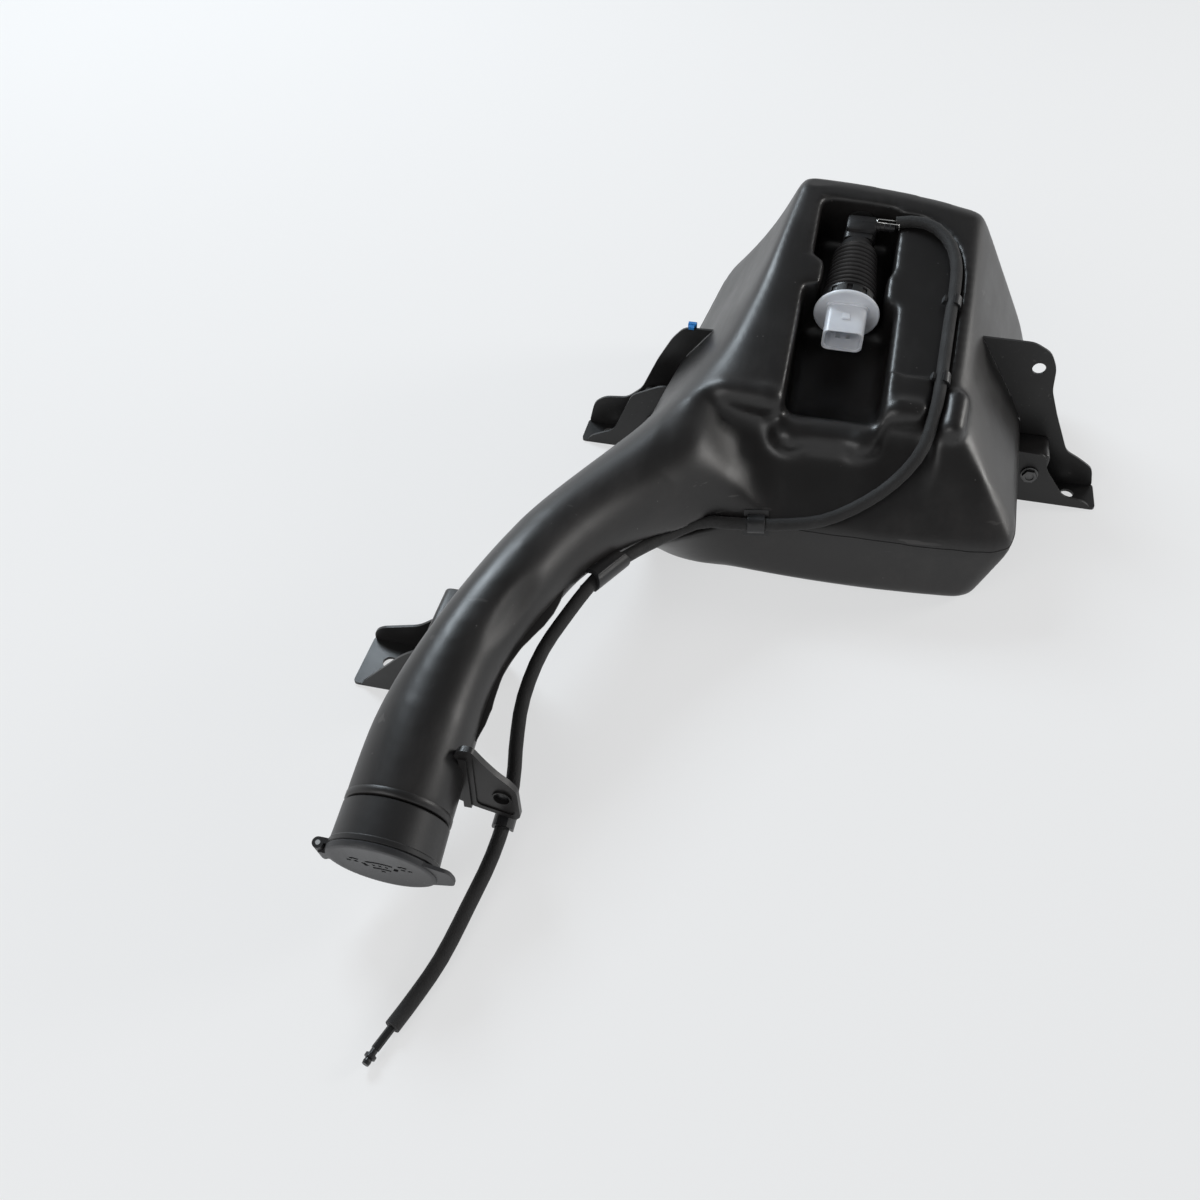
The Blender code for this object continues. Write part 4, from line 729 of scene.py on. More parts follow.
def tank_cage():
    bm = bmesh.new()
    crease = bm.edges.layers.float.new("crease_edge")
    front, middle, back = (
        [bm.verts.new(p) for p in body_ring(floor, SEAM_RIGHT[i], face, SLOPE_LEFT[i], SEAM_LEFT[i])]
        for i, (floor, face) in enumerate(((FLOOR_FRONT, FACE_FRONT), (FLOOR_MIDDLE, FACE_MIDDLE),
                                           (FLOOR_BACK, FACE_BACK))))
    count = len(front)
    for near, far in ((front, middle), (middle, back)):
        for i in range(count):
            if (near, i) != (front, 5):
                bm.faces.new((near[i], near[(i + 1) % count], far[(i + 1) % count], far[i]))

    def fill(lower, upper):
        for i in range(len(lower) - 1):
            bm.faces.new((lower[i], lower[i + 1], upper[i + 1], upper[i]))

    back_seam = [back[11], *(bm.verts.new(Vector(p)) for p in SEAM_BACK), back[5]]
    fill(back[0:5], back_seam)
    fill(back_seam, [back[10], back[9], back[8], back[7], back[6]])
    front_seam = [*(bm.verts.new(Vector(p)) for p in SEAM_FRONT), front[5]]
    valley = [bm.verts.new(Vector(p)) for p in VALLEY]
    fill(front[2:5], front_seam)
    fill(front_seam, valley)
    fill(valley, [front[8], front[7], front[6]])
    bm.faces.new((front[5], middle[5], middle[6], front[6], valley[2]))
    border = [front[11], front[10], front[9], front[8], front_seam[0], front[2], front[1], front[0]]
    for points in neck_rings():
        ring = [bm.verts.new(p) for p in points]
        for i in range(NECK_SIDES):
            j = (i + 1) % NECK_SIDES
            between = [valley[0]] if border[i] == front[8] else []
            bm.faces.new((border[i], *between, border[j], ring[j], ring[i]))
        border = ring
    bm.faces.new(border)

    def crease_line(line, value, closed=False):
        for a, b in zip(line, [*line[1:], line[0]] if closed else line[1:]):
            bm.edges.get((a, b))[crease] = value

    for corner in (0, 4, 6, 9):
        crease_line([front[corner], middle[corner], back[corner]], EDGE_CREASE)
    crease_line([front[9], middle[9]], SHOULDER_CREASE)
    crease_line([front[0], middle[0]], SHOULDER_CREASE)
    for side in (5, 11):
        crease_line([front[side], middle[side], back[side]], SEAM_CREASE)
    crease_line(back, EDGE_CREASE, closed=True)
    crease_line([*front[0:6], valley[2], front[6]], EDGE_CREASE)
    crease_line([front[8], front[7], front[6]], SHOULDER_CREASE)
    crease_line(front_seam, SEAM_CREASE)
    crease_line(border, 1.0, closed=True)
    return bmesh_object("tank_cage", bm, DRAWING, MM)


def pocket_cutter(name, pocket):
    low = (pocket["left"], pocket["floor"], pocket["tail"])
    cutter = box(name, low, (pocket["right"], RECESS_TOP, pocket["front"]), PUMP)
    bevel(cutter, POCKET_ROUNDING, 6)
    return cutter


def lower_pocket_cutter():
    """The pocket in front of the connector: its floor ramps up to the lip."""
    left, right, tail, front, floor = (LOWER_POCKET[k] for k in ("left", "right", "tail", "front", "floor"))
    outline = [(tail, RECESS_TOP), (tail, floor), (RAMP_START, floor), (RAMP_KNEE, floor + RAMP_RISE),
               (LIP_START, LIP_HEIGHT), (front, LIP_HEIGHT), (front, RECESS_TOP)]
    place = PUMP @ shift((left + right) / 2, 0, 0) @ turn(-QUARTER, "Y")
    half = (right - left) / 2
    cutter = plate("lower_pocket", outline, -half, half, place)
    bevel(cutter, POCKET_ROUNDING, 5, 20)
    return cutter


def ledge_cutter():
    outline = filleted([(u, -v) for u, v in LEDGE_OUTLINE], 6)
    place = PUMP @ turn(-QUARTER, "X")
    cutter = plate("ledge", outline, LEDGE_FLOOR, RECESS_TOP, place)
    bevel(cutter, LEDGE_ROUNDING, 3, 60)
    return cutter


def tube_mesh_object(name, points, radius, sides=6):
    curve = tube_curve(name, [p + ORIGIN for p in points], radius, sides)
    bpy.context.view_layer.update()
    mesh = bpy.data.meshes.new_from_object(curve.evaluated_get(bpy.context.evaluated_depsgraph_get()))
    bpy.data.objects.remove(curve)
    bm = bmesh.new()
    bm.from_mesh(mesh)
    bmesh.ops.remove_doubles(bm, verts=bm.verts, dist=1e-6)
    return bmesh_object(name, bm)


def valley_height(x, y):
    """Height of the hollow in front of the shoulders, in mm: a flat slope, its back wall and its rise to the neck."""
    for (x0, y0), (x1, y1) in zip(VALLEY_BACK, VALLEY_BACK[1:]):
        if x <= x1:
            break
    past = y - (y0 + (y1 - y0) * (x - x0) / (x1 - x0))
    wall = VALLEY_WALL * (past + math.hypot(past, VALLEY_FOOT)) / 2
    corner_x, corner_y, lean = VALLEY_LEFT
    left = max(0, corner_x + lean * (corner_y - y) - x)
    right = max(0, x - VALLEY_RIGHT)
    rise = left ** 2 / NECK_BLEND + right ** 2 / RIGHT_BLEND
    return VALLEY_SEAM[1] + VALLEY_SLOPE * (y - VALLEY_SEAM[0]) + wall + rise


def valley_floor(tree, x, y):
    """The hollow's height, kept clear of the uncut body, which it meets in a rounded brow on the neck's side."""
    floor = valley_height(x, y)
    hit = tree.ray_cast((Vector((x, y, OVERHEAD)) + ORIGIN) * MM, Vector((0, 0, -1)))[0]
    if hit is None:
        return floor
    body = hit.z / MM
    soft = max(0.01, BLEND_SOFTNESS * min(1, (BLEND_START - x) / BLEND_REACH))
    if floor - body >= soft:
        return body + min(4, 0.02 + (floor - body - soft) / 2)
    near = max(0, soft - abs(floor - body)) / soft
    return min(body, floor) - near ** 2 * soft / 4


def valley_cutter(tree):
    bm = bmesh.new()
    sweep(bm, [[(x, y, valley_floor(tree, x, y)) for y in VALLEY_ROWS] + [(x, y, OVERHEAD) for y in VALLEY_ROWS[::-1]]
               for x in VALLEY_COLUMNS])
    return bmesh_object("valley", bm, DRAWING)


def tree_of(obj):
    bm = bmesh.new()
    bm.from_mesh(obj.data)
    bm.transform(obj.matrix_world)
    tree = BVHTree.FromBMesh(bm)
    bm.free()
    return tree


def dent_cutter():
    """Long egg that presses the soft hollow into the neck."""
    centre, along, width, reach = DENT
    bm = bmesh.new()
    bmesh.ops.create_uvsphere(bm, u_segments=32, v_segments=24, radius=MM)
    bm.transform(DRAWING @ shift(*centre) @ facing(along) @ Matrix.Diagonal((width, width, reach, 1)))
    return bmesh_object("neck_dent", bm)


def lobe(name, start, end, radius):
    """A round-ended roll that the blown shell bulges into."""
    axis = Vector(end) - Vector(start)
    bm = bmesh.new()
    bmesh.ops.create_uvsphere(bm, u_segments=24, v_segments=16, radius=radius)
    for vert in bm.verts:
        if vert.co.z > 0:
            vert.co.z += axis.length
    return bmesh_object(name, bm, DRAWING @ shift(*start) @ facing(axis), MM)


def soft_zone(obj, name, boxes, steps):
    """More smoothing for the parts of the shell that are rounder than the rest."""
    group = obj.vertex_groups.new(name=name)
    for vert in obj.data.vertices:
        place = obj.matrix_world @ vert.co / MM - ORIGIN
        inside = max(min(min(place[i] - low[i], high[i] - place[i]) for i in range(3)) for low, high in boxes)
        if inside > 0:
            group.add([vert.index], min(1.0, inside / ZONE_EDGE), "REPLACE")
    modify(obj, "SMOOTH", factor=0.5, iterations=steps, vertex_group=name)


def keep_in_box(obj):
    """Nothing of the shell leaves the CAD model's box."""
    back = obj.matrix_world.inverted()
    low, high = CAD_BOX
    for vert in obj.data.vertices:
        place = obj.matrix_world @ vert.co
        vert.co = back @ Vector([min(max(place[i], low[i]), high[i]) for i in range(3)])


def make_tank():
    tank = tank_cage()
    modify(tank, "SUBSURF", levels=3, render_levels=3)
    bevel(tank, RIDGE_ROUNDING, 3, 22)
    tank = baked(tank, "tank_body")
    bore = [(0, 10), (BORE_RADIUS, 10), (BORE_RADIUS, -80), (12, -125), (0, -130)]
    cutters = [
        tube_mesh_object("hose_channel", ROUTE[:48], HOSE_RADIUS + CHANNEL_CLEARANCE),
        pocket_cutter("upper_pocket", UPPER_POCKET),
        pocket_cutter("waist_pocket", WAIST_POCKET),
        lower_pocket_cutter(),
        ledge_cutter(),
        valley_cutter(tree_of(tank)),
        dent_cutter(),
        turned("neck_bore", bore, LID, segments=48),
    ]
    for cutter in cutters[1:]:
        boolean(tank, cutter)
    lobes = [lobe(name, *form) for name, form in LOBES.items()]
    for form in lobes:
        boolean(tank, form, "UNION")
    boolean(tank, cutters[0])
    modify(tank, "REMESH", mode="VOXEL", voxel_size=VOXEL * MM, use_smooth_shade=True)
    modify(tank, "SMOOTH", factor=0.5, iterations=SMOOTH_STEPS)
    shell = baked(tank, "tank_shell", cutters + lobes)
    soft_zone(shell, "soft_zone", SOFT_ZONES, SOFT_STEPS)
    soft_zone(shell, "brow_zone", BLEND_ZONES[:1], BROW_STEPS)
    soft_zone(shell, "blend_zone", BLEND_ZONES[1:], BLEND_STEPS)
    shell = smooth(dress(baked(shell, "tank_shell"), TANK_LOOK))
    keep_in_box(shell)
    return carried(shell, "washer_tank")


SHELL = make_tank()


# Pieces that stand for CAD solids, or finish the shell
def add(obj):
    return obj, "UNION"


def cut(obj):
    return obj, "DIFFERENCE"


def settled(guide, name, steps, look, node, rounding=None, body="reservoir", stands=True, angle=34):
    """The guide with its steps made and its edges rounded, riding its body, in the node's place or beside it."""
    for other, operation in steps:
        boolean(guide, other, operation)
    piece = dress(baked(guide, name, [other for other, _ in steps]), look)
    if rounding:
        soften(piece, rounding)
    return carried(smooth(piece, angle), node, body, stands)


def upright(y):
    """Frame of a plate that stands across Y: its XY plane is the drawing's XZ plane."""
    return DRAWING @ shift(0, y) @ turn(QUARTER, "X")


def make_lugs():
    for name, (left, right, low, high), front, rear in LUGS:
        place = upright((front + rear) / 2)
        half = (rear - front) / 2 - SHEET - GAP
        outline = filleted([(left, low), (right, low), (right, high), (left, high)], 5)
        block = plate(name, outline, -half, half, place)
        bevel(block, 1.6, 3, 60)
        inner = [(left + 6, low + 5), (right - 6, low + 5), (right - 6, high - 5), (left + 6, high - 5)]
        pocket = plate(name + "_pocket", filleted(inner, 3), half - 3, half + 3, place)
        settled(block, name, [cut(pocket)], TANK_LOOK, "washer_tank", stands=False)


def make_hose_lug():
    """Web for the hose on the neck's side: a rimmed plate, a rib along the neck and a plugged eye."""
    place = upright(HOSE_LUG_Y)
    half = HOSE_LUG_THICKNESS / 2
    web = plate("hose_lug", filleted(HOSE_LUG_OUTLINE, 3), -half, half, place)
    face = plate("lug_face", filleted(HOSE_LUG_FACE, 3), half - 0.8, half + 1, place)
    rib = box("lug_rib", (-203, 27, -3.0), (-198.8, 68, 3.0), place)
    x, z = HOSE_LUG_HOLE
    at_hole = place @ shift(x, z)
    rim = turned("lug_eye_rim", [(3.9, -2.4), (5.2, -2.4), (5.4, 0.0), (5.2, 2.2), (3.9, 2.2)], at_hole, 48)
    eye = turned("lug_eye", [(0, -6), (4.4, -6), (4.4, 6), (0, 6)], at_hole, 48)
    settled(web, "hose_lug", [cut(face), add(rib), add(rim), cut(eye)], TANK_LOOK, "washer_tank", 0.5, stands=False)
    plug = turned("lug_plug", [(0, -1.6), (4.5, -1.6), (4.5, -0.6), (3.6, -0.4), (2.4, 0.2), (0, 0.6)], at_hole, 48)
    settled(plug, "lug_plug", [], SMALL_LOOK, "washer_tank", stands=False)


def make_mouth():
    """Spigot inside the collar and the crisp end of the neck behind it."""
    end = -COLLAR_LENGTH
    rim = NECK_RADIUS + 0.1
    profile = [(MOUTH_RADIUS, end - 16), (MOUTH_RADIUS, -4), (MOUTH_RADIUS + 0.6, -3.4),
               (SPIGOT_RADIUS - 0.6, -3.4), (SPIGOT_RADIUS, -4), (SPIGOT_RADIUS, end),
               (rim - 0.9, end), (rim, end - 0.9), (rim, end - 4), (rim - 2, end - 7)]
    settled(turned("neck_mouth", profile, LID, 128), "neck_mouth", [], TANK_LOOK, "washer_tank", stands=False,
            angle=50)


def hinge_part(name, low, high, reach):
    """A length of the hinge's barrel with its web to the ring or the lid."""
    place = LID @ shift(-HINGE_OFFSET) @ turn(-QUARTER, "X")
    barrel = turned(name, [(0, low), (KNUCKLE_RADIUS, low), (KNUCKLE_RADIUS, high), (0, high)], place, 32)
    web_low = (-HINGE_OFFSET, low, reach[0])
    web = box(name + "_web", web_low, (-NECK_RADIUS + 1.5, high, reach[1]), LID)
    return barrel, web


def make_collar():
    outer = NECK_RADIUS + COLLAR_FLARE
    low = -COLLAR_LENGTH + GROOVE_WIDTH
    bore = SPIGOT_RADIUS + GAP
    lip = MOUTH_RADIUS + PLUG_WALL / 2
    profile = [(outer - 0.5, 0), (outer, -0.5), (outer, -2.6), (outer - 0.4, -3.2),
               (NECK_RADIUS + 0.2, -9), (NECK_RADIUS, low + 0.7), (NECK_RADIUS - 0.7, low),
               (bore, low), (bore, -LIP_THICKNESS), (lip, -LIP_THICKNESS), (lip, 0)]
    collar = turned("collar", profile, LID, 128)
    near = BARREL_LENGTH / 2 + GAP
    others = []
    for side, name in ((-1, "knuckle_lower"), (1, "knuckle_upper")):
        ends = sorted((side * near, side * (near + KNUCKLE_LENGTH)))
        others += hinge_part(name, *ends, (-KNUCKLE_RADIUS, -GAP))
    settled(collar, "smooth_collar", [*map(add, others)], COLLAR_LOOK, "filler_collar", angle=30)


def stroke(bm, points, width, low, high):
    """A bar of the pictogram: one ribbon along points, with square ends."""
    points = [Vector(p) * PICTOGRAM_SCALE for p in points]
    edges = [], []
    for i, point in enumerate(points):
        along = (points[min(i + 1, len(points) - 1)] - points[max(i - 1, 0)]).normalized()
        side = Vector((-along.y, along.x)) * width / 2
        edges[0].append(point + side)
        edges[1].append(point - side)
    prism(bm, edges[0] + edges[1][::-1], low, high)


def pictogram(name, width, low, high):
    bm = bmesh.new()
    for points in PICTOGRAM:
        stroke(bm, points, width, low, high)
    return bmesh_object(name, bm, LID)


def make_lid():
    """Lid with its plug, thumb tab, hinge barrel and the generic washer pictogram pressed into its face, with painted
    shade in the pictogram's grooves.
    """
    top = GAP + LID_THICKNESS
    plug = MOUTH_RADIUS - GAP
    edge = LID_RADIUS
    seal = -LIP_THICKNESS
    profile = [(0, top - 0.2), (edge - 5, top - 0.2), (edge - 3.6, top), (edge - 1.6, top),
               (edge - 0.5, top - 0.4), (edge, top - 1.4), (edge, GAP + 0.5),
               (edge - 0.5, GAP), (plug, GAP), (plug, seal + GAP), (plug - 1.2, seal + GAP),
               (plug - 1.2, seal - 1.5), (plug, seal - 1.5), (plug, -PLUG_DEPTH + 0.5),
               (plug - 0.5, -PLUG_DEPTH), (plug - PLUG_WALL, -PLUG_DEPTH), (plug - PLUG_WALL, 0.1),
               (0, 0.1)]
    lid = turned("lid", profile, LID, 128)
    tip = LID_RADIUS + TAB_LENGTH
    half = TAB_WIDTH / 2
    tab_outline = filleted([(8, -half * 2.1), (LID_RADIUS - 3, -half * 1.22), (tip - 1.2, -half * 0.8),
                            (tip, 0), (tip - 1.2, half * 0.8), (LID_RADIUS - 3, half * 1.22),
                            (8, half * 2.1)], 9, 8)
    tab = plate("tab", tab_outline, top - 2.9, top - 0.9, LID)
    others = [tab, *hinge_part("barrel", -BARREL_LENGTH / 2, BARREL_LENGTH / 2, (2 * GAP, top - GAP))]
    mark = pictogram("pictogram", PICTOGRAM_LINE, top - PICTOGRAM_DEPTH, top + 1)
    settled(lid, "marked_lid", [*map(add, others), cut(mark)], LID_LOOK, "filler_lid", 0.25, "lid", angle=30)
    # Near-black bars at the floors of the pictogram's grooves: painted shade for the recesses, darker than the lid's
    # plastic
    floor = top - PICTOGRAM_DEPTH
    shade_bars = pictogram("pictogram_shade_bars", PICTOGRAM_LINE - 0.1, floor - 0.3, floor + 1.2)
    settled(shade_bars, "lid_pictogram_shade", [], PICTOGRAM_SHADE_LOOK, "filler_lid", None, "lid", stands=False)


def ring_blocks(name, count, share, inner, outer, low, high, matrix):
    """Blocks spaced round a ring, as a notched rim."""
    bm = bmesh.new()
    for block in range(count):
        sections = []
        for step in range(7):
            angle = math.tau * (block + share * step / 6) / count
            c, s = math.cos(angle), math.sin(angle)
            corners = (inner, low), (outer, low), (outer, high), (inner, high)
            sections.append([(r * c, r * s, z) for r, z in corners])
        sweep(bm, sections)
    return bmesh_object(name, bm, matrix)


def make_sleeve():
    """Rubber bellows: a notched rim at the flange, ten rounded ribs and a cone that closes on the head."""
    tail = -GAP - SLEEVE_LENGTH
    points = SLEEVE_RIM[:]
    pitch = BELLOWS_LENGTH / BELLOWS_RIBS
    for rib in range(BELLOWS_RIBS):
        crest = BELLOWS_WIDE + (BELLOWS_NARROW - BELLOWS_WIDE) * rib / (BELLOWS_RIBS - 1)
        points += [(crest - depth, BELLOWS_START - pitch * (rib + share)) for share, depth in RIB_FORM]
    end = BELLOWS_START - BELLOWS_LENGTH
    points += [(14.4, end), (15.2, end - 0.8), (14.8, end - 1.8), (11.9, end - 6.5), (11.4, tail + 0.4), (11.0, tail),
               (SLEEVE_BORE, tail), (SLEEVE_BORE, -0.5)]
    sleeve = turned("sleeve", points, PUMP)
    settled(sleeve, "bellows_sleeve", [], SLEEVE_LOOK, "pump_sleeve", angle=50)
    blocks = ring_blocks("sleeve_notches", *NOTCHES, PUMP)
    settled(blocks, "sleeve_notches", [], RUBBER_LOOK, "pump_sleeve", 0.3, stands=False)


def make_head():
    """Volute head: a chamfered block on a narrower neck, with the inlet nipple behind and the outlet spigot."""
    start = -2 * GAP - SLEEVE_LENGTH
    end = start - HEAD_LENGTH
    waist = start - 5
    head = box("head", (-9.8, -11, end), (11.8, 12.6, waist), PUMP)
    bevel(head, 2.6, 2)
    neck = plate("head_neck", filleted([(-10.4, -10), (10.4, -10), (10.4, 10), (-10.4, 10)], 5), waist - 2, start, PUMP)
    inlet = [(0, end + 1), (5, end + 1), (5, end - 11), (3, end - 11), (3, end - 9), (0, end - 9)]
    nipple = turned("nipple", inlet, PUMP, 48)
    outlet_z = end + 2.2 * OUTLET_RADIUS
    across = PUMP @ shift(0, OUTLET_RISE, outlet_z) @ turn(QUARTER, "Y")
    outlet = turned("outlet", OUTLET_FORM, across, 48)
    settled(head, "volute_head", [add(neck), add(nipple), add(outlet)], PUMP_LOOK, "pump_head", 0.4)


def make_screws():
    """Hexagon screws with a pressed washer under the head."""
    for name, x, z, front, rear in SCREWS:
        place = DRAWING @ shift(x, front - GAP, z) @ turn(QUARTER, "X")
        shank = turned(name + "_shank", [(0, 0.2), (5.8, 0.2), (6, 0.5), (6, 1.0), (5.4, 1.3), (0, 1.4)], place, 48)
        tip = front - rear - 2
        rod = turned(name + "_rod", [(0, 0.6), (3, 0.6), (3, tip + 1), (2.2, tip), (0, tip)], place, 32)
        hexagon = [(SCREW_HEAD_RADIUS * math.cos(math.tau * i / 6), SCREW_HEAD_RADIUS * math.sin(math.tau * i / 6))
                   for i in range(6)]
        head = plate(name + "_head", hexagon, 0.8, SCREW_HEAD_HEIGHT, place)
        dish = turned(name + "_dish", [(0, 3.2), (2.6, 3.2), (3.1, 5), (0, 5)], place, 32)
        settled(shank, name + "_hexagon", [add(rod), add(head), cut(dish)], SCREW_LOOK, name, 0.3)


def make_blue_clip():
    """Small spring nut behind the left bracket's wall: only its folded top shows."""
    low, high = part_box("blue_clip")
    low, high = Vector(low) / MM, Vector(high) / MM
    middle = LEFT_WALL_Y + ORIGIN.y
    place = Matrix.Identity(4)
    clip = box("clip_body", (low.x + 1, middle + 1.3, low.z), (high.x, high.y, high.z - 0.6), place)
    fold = box("clip_fold", (low.x + 2, middle - 2.6, high.z - 3.1), (high.x - 1, middle + 2, high.z - 1.2), place)
    slot = box("clip_slot", (low.x + 3, high.y - 0.8, low.z + 2), (high.x - 2, high.y + 1, high.z - 4), place)
    settled(clip, "blue_spring_clip", [add(fold), cut(slot)], BLUE_LOOK, "blue_clip", 0.4)


def make_wire_clip():
    """Bright spring wire: two straight legs over the outlet, bent down at the hose."""
    outlet_z = -2 * GAP - SLEEVE_LENGTH - HEAD_LENGTH + 2.2 * OUTLET_RADIUS
    near, far, rise = 11.5, 26.5, OUTLET_RISE + OUTLET_RADIUS + 1.9
    reach = 1.7
    points = [(far + 0.3, rise - 4, outlet_z - reach - 1), (far, rise, outlet_z - reach),
              (near, rise + 0.3, outlet_z - reach), (near - 0.8, rise + 0.3, outlet_z),
              (near, rise + 0.3, outlet_z + reach), (far, rise, outlet_z + reach),
              (far + 0.3, rise - 4, outlet_z + reach + 1)]
    clip = tube_curve("wire_clip", [PUMP @ (Vector(p) * MM) / MM for p in points], CLIP_WIRE * 0.9, 4, WIRE_LOOK)
    carried(clip, "outlet_clip")


def shroud_outline(width, height, corner):
    half, tall = width / 2, height / 2
    return filleted([(-half, -tall), (half, -tall), (half, tall), (-half, tall)], corner, 8)


def make_connector():
    """Flange and connector shroud in one milky moulding, with a stepped lip round the socket."""
    rim = FLANGE_RADIUS
    thick = 2.6
    profile = [(0, thick - 0.4), (rim - 3, thick - 0.4), (rim - 2.2, thick), (rim - 0.7, thick),
               (rim, thick - 0.7), (rim, 0.5), (rim - 0.5, 0), (0, 0)]
    cap = turned("cap", profile, PUMP, 128)
    end = SHROUD_LENGTH + 1
    width, height = SHROUD_WIDTH + 1.2, SHROUD_HEIGHT + 3.6
    place = PUMP @ shift(0, 1.8)
    shroud = plate("shroud", shroud_outline(width, height, 5.6), 1, end, place)
    lip = plate("shroud_lip", shroud_outline(width - 1.6, height - 1.6, 5.0), end - 1.2, end + 4, place)
    inside = 2 * SHROUD_WALL + 0.6
    socket = plate("socket", shroud_outline(width - inside, height - inside, 4.4), end - SOCKET_DEPTH, end + 4, place)
    foot = plate("shroud_foot", shroud_outline(width + 1.6, height + 1.6, 6), 1, 3.6, place)
    top = height / 2
    catch = box("catch", (-2.6, top - 1, 12), (2.6, top + 1, 16.5), place)
    settled(cap, "milky_connector", [add(shroud), add(foot), add(catch), cut(lip), cut(socket)], WHITE_LOOK,
            "pump_end_cap", 0.35, angle=40)


def at_route(share, outward):
    """Frame on the hose: X across it, Y away from what it lies on, Z along it."""
    index = round(share * (len(FINE_ROUTE) - 1))
    along = (FINE_ROUTE[index + 1] - FINE_ROUTE[index - 1]).normalized()
    up = (Vector(outward) - along * along.dot(Vector(outward))).normalized()
    across = up.cross(along)
    return DRAWING @ shift(*FINE_ROUTE[index]) @ Matrix((across, up, along)).transposed().to_4x4()


def make_rim_clips():
    """Tabs on the ridge beside the channel that reach over the hose, with a foot and a hook on the other side."""
    face_up = (0.3, -math.sin(FACE_ANGLE), math.cos(FACE_ANGLE))
    half = RIM_CLIP_LENGTH / 2
    for name, share in RIM_CLIPS.items():
        place = at_route(share, face_up)
        inner, outer = HOSE_RADIUS + 0.35, HOSE_RADIUS + 1.75
        side = -1 if (place.to_3x3() @ Vector((1, 0, 0))).x > 0 else 1
        start, end = (188, 78) if side > 0 else (-8, 102)
        bow = arc(outer, start, end, 14) + arc(inner, end, start, 12)
        tab = plate(name + "_tab", bow, -half, half, place)
        x0, x1 = sorted((-side * 3.9, -side * 10.5))
        foot = box(name + "_foot", (x0, -3.6, -half - 2), (x1, -0.9, half), place)
        slot = box(name + "_slot", (-7, 1, -half - 1), (7, 7, -half / 2), place)
        hook_low, hook_high = sorted((side * 4.5, side * 6.6))
        hook = box(name + "_hook", (hook_low, -3, -2.5), (hook_high, 1.2, 2.5), place)
        settled(tab, name + "_tab", [cut(slot), add(foot), add(hook)], SMALL_LOOK, name, 0.3)


def make_bridge_clip():
    """Strap over the hose above the seam, with a flared foot below and ears beside it."""
    place = at_route(BRIDGE_PLACE, (0, -1, 0.5))
    half = BRIDGE_LENGTH / 2 - 2
    inner, outer = HOSE_RADIUS + 0.35, HOSE_RADIUS + 1.6
    bow = ([(-outer, -9)] + arc(outer, 180, 0, 20) + [(outer, -9), (inner, -9)]
           + arc(inner, 0, 180, 16) + [(-inner, -9)])
    strap = plate("strap", bow, -half, half, place)
    feet = []
    for side in (-1, 1):
        x0, x1 = sorted((side * inner, side * (outer + 3)))
        foot = box("strap_foot_%d" % side, (x0, -5.6, -half - 2.5), (x1, -4.0, half + 2.5), place)
        feet.append(add(foot))
    settled(strap, "bridge_strap", feet, SMALL_LOOK, "bridge_clip", 0.35)


def make_sleeve_clip():
    """Split sleeve on the neck's side, with a ridge along it and folded ends."""
    place = at_route(SLEEVE_CLIP_PLACE, (1, -0.3, 0.3))
    half = SLEEVE_CLIP_LENGTH / 2
    inner, outer = HOSE_RADIUS + 0.35, HOSE_RADIUS + 2.6
    bow = ([(-outer - 0.6, -9)] + arc(outer, 184, 150, 6) + [(-outer * 0.72, outer * 0.82)]
           + arc(outer, 122, 30, 10) + [(outer * 1.02, outer * 0.34)] + arc(outer, 8, -4, 3)
           + [(outer + 0.6, -9), (inner, -9)] + arc(inner, 0, 180, 16) + [(-inner, -9)])
    sleeve = plate("clip_sleeve", bow, -half, half, place)
    trims = []
    for side, lean in ((-1, 0.5), (1, -0.35)):
        end = place @ shift(0, 0, side * half) @ turn(lean, "Y") @ turn(0 if side > 0 else math.pi, "X")
        trim = box("clip_trim_%d" % side, (-14, -14, 0), (14, 14, 12), end)
        trims.append(cut(trim))
    settled(sleeve, "neck_clip_sleeve", trims, SMALL_LOOK, "neck_sleeve_clip", 0.4)


def on_shell(tree, point):
    """The point moved to the shell's nearest place, and the shell's normal there."""
    place, normal, _, _ = tree.find_nearest((Vector(point) + ORIGIN) * MM)
    return place / MM, normal


def make_seam(tree):
    """Parting line that the two halves of the mould leave round the tank."""
    loop = [*SEAM_FRONT, *SEAM_RIGHT, *reversed(SEAM_BACK), *reversed(SEAM_LEFT[1:])]
    low, high = (Vector(corner) / MM for corner in CAD_BOX)
    points = []
    for place in smooth_route(loop, SEAM_POINTS):
        spot, normal = on_shell(tree, place)
        point = spot + normal * SEAM_LIFT
        points.append(Vector([min(max(point[i], low[i] + SEAM_WIDTH), high[i] - SEAM_WIDTH) for i in range(3)]))
    for _ in range(3):
        points = [points[0]] + [(a + 2 * b + c) / 4 for a, b, c in zip(points, points[1:], points[2:])] + [points[-1]]
    seam = tube_curve("mould_seam", points, SEAM_WIDTH, 2, TANK_LOOK)
    carried(seam, "washer_tank", stands=False)


def make_flash(tree):
    """Fin of pinched-off plastic along the neck's right side."""
    bm = bmesh.new()
    rows = []
    for step, centre in enumerate(smooth_route(FLASH_ROUTE, FLASH_POINTS)):
        spot, normal = on_shell(tree, centre + Vector((6, -2, 0)))
        out = Vector((normal.x, normal.y, 0)).normalized()
        at = step / (FLASH_POINTS - 1) * (len(FLASH_HEIGHTS) - 1)
        low = min(int(at), len(FLASH_HEIGHTS) - 2)
        height = FLASH_HEIGHTS[low] + (FLASH_HEIGHTS[low + 1] - FLASH_HEIGHTS[low]) * (at - low)
        lift = Vector((0, 0, 0.7))
        droop = Vector((0, 0, -0.25 * height))
        inner, outer = spot - out * 1.5, spot + out * height + droop
        rows.append([inner - lift, outer - lift * 0.6, outer + lift * 0.6, inner + lift])
    sweep(bm, rows)
    fin = bmesh_object("neck_flash", bm)
    settled(fin, "neck_flash", [], TANK_LOOK, "washer_tank", 0.3, stands=False, angle=50)


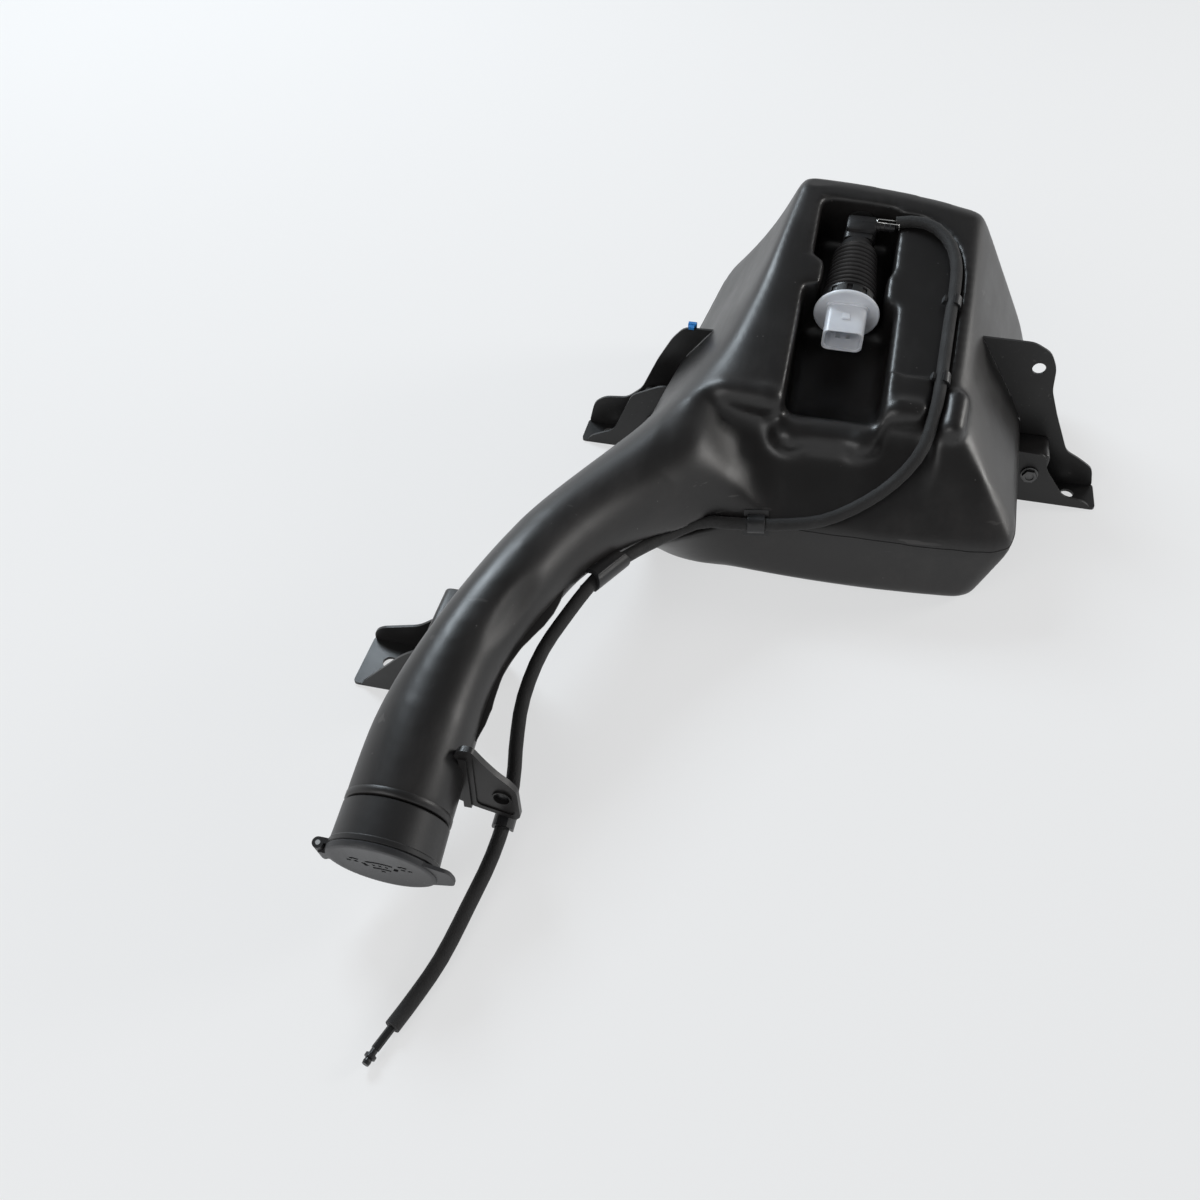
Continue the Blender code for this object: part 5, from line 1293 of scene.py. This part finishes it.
def make_eyelet(tree):
    """Small raised oval on the neck's root, below the hose."""
    centre, normal = on_shell(tree, EYELET)
    along = Vector((0.62, 0.78, 0.05))
    along = (along - normal * along.dot(normal)).normalized()
    across = normal.cross(along)
    for name, grow, radius, lift in (("eyelet_rim", 1.0, 0.7, 0.3), ("eyelet_flap", 0.6, 0.9, 0.1)):
        points = []
        for step in range(41):
            angle = math.tau * step / 40
            spot = centre + grow * (6.2 * math.cos(angle) * along + 2.1 * math.sin(angle) * across)
            points.append(on_shell(tree, spot - ORIGIN)[0] + normal * lift)
        ring = tube_curve(name, points, radius, 3, TANK_LOOK)
        carried(ring, "washer_tank", stands=False)


SHELL_TREE = tree_of(SHELL)
FINE_ROUTE = smooth_route(HOSE_ROUTE, 401)
make_lugs()
make_hose_lug()
make_mouth()
make_collar()
make_lid()
make_sleeve()
make_head()
make_wire_clip()
make_screws()
make_blue_clip()
make_connector()
make_rim_clips()
make_bridge_clip()
make_sleeve_clip()
make_seam(SHELL_TREE)
make_flash(SHELL_TREE)
make_eyelet(SHELL_TREE)

for bracket in ("left_bracket", "right_bracket", "neck_bracket"):
    soften(NODES[bracket], 0.5, 3)
for part in ("lug_hose_clip", "hose_fitting"):
    soften(NODES[part], 0.35)


# Floor, backdrop and light
def soft_light(name, place, aim, size, power, colour=(1, 1, 1)):
    data = bpy.data.lights.new(name, "AREA")
    data.shape = "RECTANGLE"
    data.size, data.size_y = size
    data.energy = power
    data.color = colour
    lamp = link(bpy.data.objects.new(name, data))
    lamp.location = place
    lamp.rotation_euler = (Vector(aim) - Vector(place)).to_track_quat("-Z", "Y").to_euler()


def paper_look():
    """Matt paper: most of its white is shown straight to the eye, the rest is lit, so that shadows stay pale."""
    m = Nodes("white_paper")
    m.level("Base Color", (0.88, 0.88, 0.88, 1))
    m.level("Roughness", 0.8)
    m.level("Specular IOR Level", 0.1)
    eye, gloss, glass = (m.node("LightPath", {}, "Is %s Ray" % ray) for ray in ("Camera", "Glossy", "Transmission"))
    seen = m.math("MAXIMUM", eye, m.math("MAXIMUM", gloss, glass))
    white = m.node("Emission", {"Color": (0.89, 0.895, 0.90, 1), "Strength": 1.0})
    blend = m.node("MixShader", {"Fac": m.math("MULTIPLY", seen, PAPER_SHARE), 1: m.shader.outputs["BSDF"], 2: white})
    m.wire(blend, m.tree.nodes["Material Output"].inputs["Surface"])
    return m.material


def make_stage():
    bpy.ops.mesh.primitive_plane_add(size=14, location=(0, 0, -0.0002))
    floor = bpy.context.object
    floor.name = "white_floor"
    floor.data.materials.append(paper_look())
    world = bpy.data.worlds.new("studio")
    world.use_nodes = True
    bpy.context.scene.world = world
    back = world.node_tree.nodes["Background"]
    back.inputs["Color"].default_value = (0.98, 0.99, 1, 1)
    coords = world.node_tree.nodes.new("ShaderNodeTexCoord")
    split = world.node_tree.nodes.new("ShaderNodeSeparateXYZ")
    fade = world.node_tree.nodes.new("ShaderNodeMapRange")
    for name, value in {"From Min": 0.05, "From Max": 0.75, "To Min": SKY_EDGE, "To Max": SKY_TOP}.items():
        fade.inputs[name].default_value = value
    links = world.node_tree.links
    links.new(coords.outputs["Generated"], split.inputs[0])
    links.new(split.outputs["Z"], fade.inputs["Value"])
    links.new(fade.outputs["Result"], back.inputs["Strength"])
    aim = (0, 0, 0.05)
    soft_light("left_window", (-1.3, 1.2, 1.5), aim, (0.8, 0.7), 31, (0.82, 0.92, 1))
    soft_light("right_window", (1.8, 0.9, 0.8), aim, (0.6, 0.45), 12, (1, 0.98, 0.95))
    soft_light("front_fill", (-0.9, -1.7, 1.3), aim, (1.2, 1.0), 11)


make_stage()
